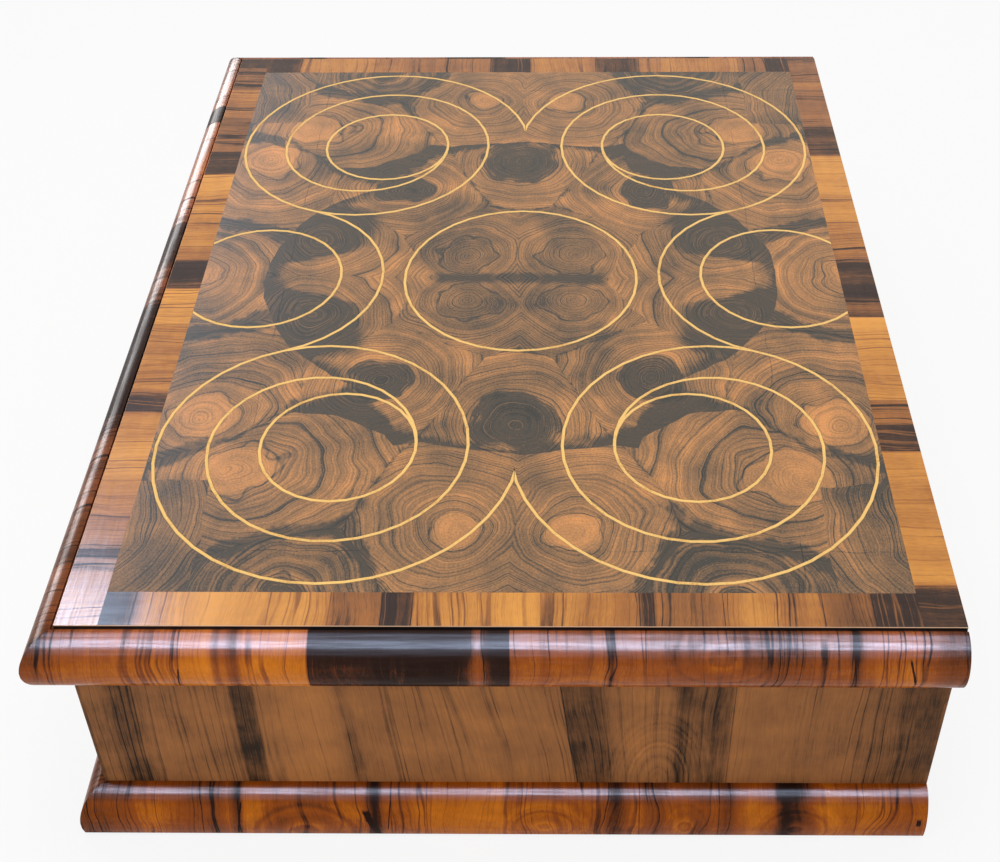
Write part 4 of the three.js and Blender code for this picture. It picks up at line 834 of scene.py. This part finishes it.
def cushion_moulding(name, side, face_x, shoulder, quirk, wear, widest_share):
    """A length of cushion moulding: worked along X with its round to -Y, mitred, then turned to its side."""
    low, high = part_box(name)
    back, reach, starts, ends, turn = {
        "front": (high.y, high.y - low.y, low.x, high.x, 0),
        "right": (face_x, high.x - face_x, low.y, high.y, math.pi / 2),
        "left": (-face_x, -face_x - low.x, -high.y, -low.y, -math.pi / 2),
    }[side]
    mitres = {
        "front": ((face_x - MITRE_GAP, 1), (MITRE_GAP - face_x, -1)),
        "right": ((low.y + reach, -1),),
        "left": ((-low.y - reach, 1),),
    }[side]
    top, bottom = high.z, low.z
    widest = top - widest_share * (top - bottom)
    piece = start_piece(
        bpy.ops.mesh.primitive_cylinder_add, vertices=PROFILE_SIDES, radius=1, depth=ends - starts,
        location=((starts + ends) / 2, -shoulder, widest), rotation=(0, math.pi / 2, 0),
        scale=(top - widest, reach - shoulder, 1))
    bpy.ops.object.mode_set(mode="EDIT")
    slice_off((0, 0, bottom), (0, 0, -1))
    slice_off((0, -shoulder, 0), (0, 1, 0))
    if quirk:
        bpy.ops.mesh.select_all(action="SELECT")
        bpy.ops.mesh.bisect(plane_co=(0, 0, top - quirk), plane_no=(0, 0, 1))
    choose(piece, "polygons", lambda middle, corners: middle.z < top - quirk and all(
        abs(corner.y + shoulder) < NEAR for corner in corners))
    bpy.ops.mesh.extrude_region_move(TRANSFORM_OT_translate={"value": (0, shoulder, 0)})
    choose(piece, "edges", lambda middle, corners: abs(corners[0].x - corners[1].x) > NEAR and all(
        abs(corner.z - bottom) < NEAR and corner.y < -shoulder - NEAR for corner in corners))
    bpy.ops.mesh.bevel(offset=wear, segments=WEAR_STEPS, affect="EDGES")
    for x, way in mitres:
        slice_off((x, 0, 0), (way, 1, 0))
    choose(piece, "edges", lambda middle, corners: False)
    bpy.ops.object.mode_set(mode="OBJECT")
    piece.rotation_euler = (0, 0, turn)
    piece.location = (0, back, 0) if side == "front" else (back, 0, 0)
    bpy.ops.object.transform_apply(location=True, rotation=True, scale=True)
    bpy.ops.object.shade_smooth_by_angle(angle=SMOOTH_BELOW)
    return piece


def add_mouldings(part, body, colours, *profile):
    """The three lengths of the lid's or the base's moulding, in place of their CAD nodes. The profile is what
    cushion_moulding takes after the side."""
    finishes = moulding_finishes(colours, part)
    for side in SIDES:
        node = f"{side}_{part}_moulding"
        piece = cushion_moulding(node, side, *profile)
        dress(piece, f"{side}_{part}_cushion_moulding", body, "moulding", finishes[side], node)


class OBJECT_OT_lid_mouldings(bpy.types.Operator):
    """Cushion mouldings round the front and ends of the lid"""

    bl_idname = "object.oyster_lid_mouldings"
    bl_label = "Lid Mouldings"

    def execute(self, context):
        sizes = context.scene.box_mouldings
        add_mouldings(
            "lid", "lid", context.scene.box_woods, LID_HIGH.x, sizes.quirk_width, sizes.quirk_depth,
            sizes.lid_wear, LID_WIDEST_SHARE)
        return {"FINISHED"}


class OBJECT_OT_base_mouldings(bpy.types.Operator):
    """Cushion mouldings round the front and ends of the base"""

    bl_idname = "object.oyster_base_mouldings"
    bl_label = "Base Mouldings"

    def execute(self, context):
        sizes = context.scene.box_mouldings
        face_x = -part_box("left_end_board")[0].x
        add_mouldings(
            "base", "case", context.scene.box_woods, face_x, sizes.base_shoulder, 0.0, sizes.base_wear,
            BASE_WIDEST_SHARE)
        return {"FINISHED"}


def finish_nodes(finish, *names):
    for name in names:
        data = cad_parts[name].data
        data.materials.clear()
        data.materials.append(finish)


class OBJECT_OT_lid_veneers(bpy.types.Operator):
    """Oyster field, crossbanding and boxwood lines of the lid"""

    bl_idname = "object.oyster_lid_veneers"
    bl_label = "Lid Veneers"

    def execute(self, context):
        colours = context.scene.box_woods
        finish_nodes(oyster_veneer(colours), "oyster_field")
        for name, finish in crossbands(colours).items():
            finish_nodes(finish, name)
        finish_nodes(boxwood(colours), *(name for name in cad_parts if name.endswith("_string")))
        return {"FINISHED"}


class OBJECT_OT_case_veneers(bpy.types.Operator):
    """Veneers of the four sides of the case"""

    bl_idname = "object.oyster_case_veneers"
    bl_label = "Case Veneers"

    def execute(self, context):
        for name, finish in side_veneers(context.scene.box_woods).items():
            finish_nodes(finish, name)
        return {"FINISHED"}


class OBJECT_OT_boards(bpy.types.Operator):
    """Oak boards of the case and the lid"""

    bl_idname = "object.oyster_boards"
    bl_label = "Boards"

    def execute(self, context):
        colours = context.scene.box_woods
        dark, light = colours.board_dark, colours.board_light
        lid_edge = ((0, LID_HIGH.x / MM), (1, LID_HIGH.y / MM))
        for name, along, over, shaded_quirk, *boards in (
            ("oak along the box", 0, 2, (), "front_board", "back_board"),
            ("oak of the bottom", 0, 1, (), "bottom_board"),
            ("oak of the lid", 0, 1, lid_edge, "lid_board"),
            ("oak of the end boards", 1, 2, (), "left_end_board", "right_end_board"),
            ("oak of the clamps", 1, 0, lid_edge, "left_lid_clamp", "right_lid_clamp"),
        ):
            finish_nodes(plain_wood(name, along, over, dark, light, shaded_quirk=shaded_quirk), *boards)
        return {"FINISHED"}


class OBJECT_OT_linings(bpy.types.Operator):
    """Lining paper and green baize"""

    bl_idname = "object.oyster_linings"
    bl_label = "Linings"

    def execute(self, context):
        colours = context.scene.box_others
        finish_nodes(lining_paper(colours), "case_lining", "lid_lining")
        finish_nodes(green_baize(colours), "baize")
        return {"FINISHED"}


class OBJECT_OT_metalwork(bpy.types.Operator):
    """Hinges, escutcheon, lock and key"""

    bl_idname = "object.oyster_metalwork"
    bl_label = "Metalwork"

    def execute(self, context):
        colours = context.scene.box_others
        brass = aged_metal("aged brass", colours.brass, 0.32, tint(88, 62, 34))
        iron = aged_metal("oiled iron", colours.iron, 0.45, tint(46, 38, 32))
        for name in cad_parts:
            if "lock" in name or "key" in name:
                finish_nodes(iron, name)
            elif any(word in name for word in ("hinge", "escutcheon", "link_plate")):
                finish_nodes(brass, name)
        return {"FINISHED"}


FLOOR_SIZE, FLOOR_WHITE = 14, 0.86
VIEW_ANGLES = (90.83, 39.25, -0.51)
VIEW_AIM, VIEW_DISTANCE = Vector((0.059, 0.0128, 0.150)), 0.837
VIEW_SHIFT = (-0.0415, -0.091)


class OBJECT_OT_studio(bpy.types.Operator):
    """Pale floor, soft lights, white surroundings and the camera"""

    bl_idname = "object.oyster_studio"
    bl_label = "Studio"

    def execute(self, context):
        scene = context.scene
        studio = scene.box_studio
        scene.view_settings.view_transform = "Standard"
        self.floor(studio)
        self.surroundings(scene, studio)
        mouldings, front = (
            self.group(name, [bpy.data.objects[f"{side}_{part}_cushion_moulding"] for side in sides
                              for part in ("lid", "base")])
            for name, sides in (("mouldings", SIDES), ("front mouldings", ("front",))))
        border = self.group("near border", [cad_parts[f"{side}_crossband"] for side in ("front", "right")])
        field = self.group("field", [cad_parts["oyster_field"]])
        cool, plain = (0.56, 0.72, 1.0), (1.0, 1.0, 1.0)
        high = 1.45
        sheen, side_sheen = studio.sheen, studio.side_sheen
        # The first two light every piece. The panels are only mirrored, and only by the pieces linked to them.
        for name, *settings in (
            ("overhead softbox", studio.overhead, (1.0, 1.2), (-0.1, 0.0, high), (-0.05, 0, 0.1), plain, None),
            ("camera fill", studio.fill, (1.6, 1.0), (1.3, -1.1, 1.1), (0.1, 0, 0.08), plain, None),
            ("sheen panel", sheen, (0.55, 1.7), (0.88, 0.0, high), (0.88, 0, 0), cool, mouldings),
            ("bright sheen panel", sheen * 0.8, (0.35, 1.7), (1.34, 0.0, high), (1.34, 0, 0), cool, mouldings),
            ("upper sheen panel", sheen * 0.6, (0.8, 1.7), (0.2, 0.0, high), (0.2, 0, 0), cool, mouldings),
            ("low sheen panel", sheen * 0.22, (2.4, 0.8), (1.9, 0.0, 1.2), (0.27, 0, 0.13), cool, mouldings),
            ("front sheen panel", sheen * 0.6, (2.4, 1.0), (-2.0, -1.6, 0.5), (0, -0.22, 0.14), plain, front),
            ("side sheen panel", side_sheen, (2.2, 1.4), (-1.75, -1.35, high), (-1.75, -1.35, 0), cool, field),
            ("corner sheen panel", side_sheen * 0.75, (0.22, 0.4), (-0.8, -0.85, high), (-0.8, -0.85, 0), cool,
             border),
        ):
            self.lamp(scene, name, *settings)
        self.camera(scene, studio)
        return {"FINISHED"}

    def lamp(self, scene, name, watts, size, place, target, shade, lit):
        lamp = bpy.data.lights.new(name, "AREA")
        lamp.shape = "RECTANGLE"
        lamp.size, lamp.size_y = size
        lamp.energy = watts
        lamp.color = shade
        holder = bpy.data.objects.new(name, lamp)
        scene.collection.objects.link(holder)
        holder.visible_diffuse = lit is None
        holder.visible_glossy = lit is not None
        holder.light_linking.receiver_collection = lit
        holder.location = place
        holder.rotation_euler = (Vector(target) - Vector(place)).to_track_quat("-Z", "Y").to_euler()

    def group(self, name, pieces):
        """The pieces that a lamp lights, where it lights only some."""
        collection = bpy.data.collections.new(name)
        for piece in pieces:
            collection.objects.link(piece)
        return collection

    def floor(self, studio):
        made, nodes, shader, place = material("studio floor")
        shader.inputs["Roughness"].default_value = 0.9
        shader.inputs["Specular IOR Level"].default_value = 0.1
        paper = nodes.mix(nodes.noise(place, 0.02, 2.0), (*studio.floor, 1), (*graded(studio.floor, 0.97), 1))
        nodes.feed(shader.inputs["Base Color"], paper)
        white = nodes.add("ShaderNodeEmission", {"Color": (1, 1, 1, 1), "Strength": 1.0})
        share = nodes.times(nodes.seen(), FLOOR_WHITE)
        both = nodes.add("ShaderNodeMixShader", {0: share, 1: shader.outputs[0], 2: white.outputs[0]})
        nodes.feed(made.node_tree.nodes["Material Output"].inputs["Surface"], both.outputs[0])
        piece = start_piece(bpy.ops.mesh.primitive_plane_add, size=FLOOR_SIZE, location=(0, 0, 0))
        piece.name = "studio_floor"
        piece.data.materials.append(made)

    def surroundings(self, scene, studio):
        world = bpy.data.worlds.new("studio")
        scene.world = world
        world.use_nodes = True
        nodes = Nodes(world.node_tree)
        background = world.node_tree.nodes["Background"]
        background.inputs["Color"].default_value = (1, 1, 1, 1)
        nodes.feed(background.inputs["Strength"], nodes.mix(nodes.seen(), studio.sky, 1.0, "FLOAT"))

    def camera(self, scene, studio):
        """The photograph's viewpoint: bearing, height and roll in degrees, the point aimed at and its distance."""
        bearing, height, roll = (math.radians(angle) for angle in VIEW_ANGLES)
        level = math.cos(height)
        back = Vector((math.sin(bearing) * level, -math.cos(bearing) * level, math.sin(height)))
        right = (-back).cross(Vector((0, 0, 1))).normalized()
        up = right.cross(-back)
        turned = Matrix((right, up, back)).transposed() @ Matrix.Rotation(-roll, 3, "Z").inverted()
        lens = bpy.data.cameras.new("camera")
        lens.lens = studio.lens
        lens.shift_x, lens.shift_y = VIEW_SHIFT
        lens.clip_start = 0.01
        camera = bpy.data.objects.new("camera", lens)
        scene.collection.objects.link(camera)
        camera.matrix_world = Matrix.Translation(VIEW_AIM + back * VIEW_DISTANCE) @ turned.to_4x4()
        scene.camera = camera


class VIEW3D_PT_oyster_box(bpy.types.Panel):
    """Sizes, colours and steps of the box"""

    bl_label = "Oyster Box"
    bl_space_type = "VIEW_3D"
    bl_region_type = "UI"
    bl_category = "Oyster Box"

    def draw(self, context):
        layout = self.layout
        for group in GROUPS:
            owner = getattr(context.scene, group)
            column = layout.column()
            for name in owner.__annotations__:
                column.prop(owner, name)
        for operator in OPERATORS:
            layout.operator(operator.bl_idname)


OPERATORS = (
    OBJECT_OT_lid_mouldings,
    OBJECT_OT_base_mouldings,
    OBJECT_OT_lid_veneers,
    OBJECT_OT_case_veneers,
    OBJECT_OT_boards,
    OBJECT_OT_linings,
    OBJECT_OT_metalwork,
    OBJECT_OT_studio,
)
GROUPS = {
    "box_mouldings": MouldingSizes, "box_woods": WoodColours, "box_others": OtherColours,
    "box_studio": StudioSettings,
}


def register():
    for cls in (*GROUPS.values(), *OPERATORS, VIEW3D_PT_oyster_box):
        bpy.utils.register_class(cls)
    for name, cls in GROUPS.items():
        setattr(bpy.types.Scene, name, PointerProperty(type=cls))


def unregister():
    for name in GROUPS:
        delattr(bpy.types.Scene, name)
    for cls in (VIEW3D_PT_oyster_box, *reversed(OPERATORS), *GROUPS.values()):
        bpy.utils.unregister_class(cls)


def main():
    register()
    make_groups()
    for operator in OPERATORS:
        category, name = operator.bl_idname.split(".")
        getattr(getattr(bpy.ops, category), name)()


if __name__ == "__main__":
    main()
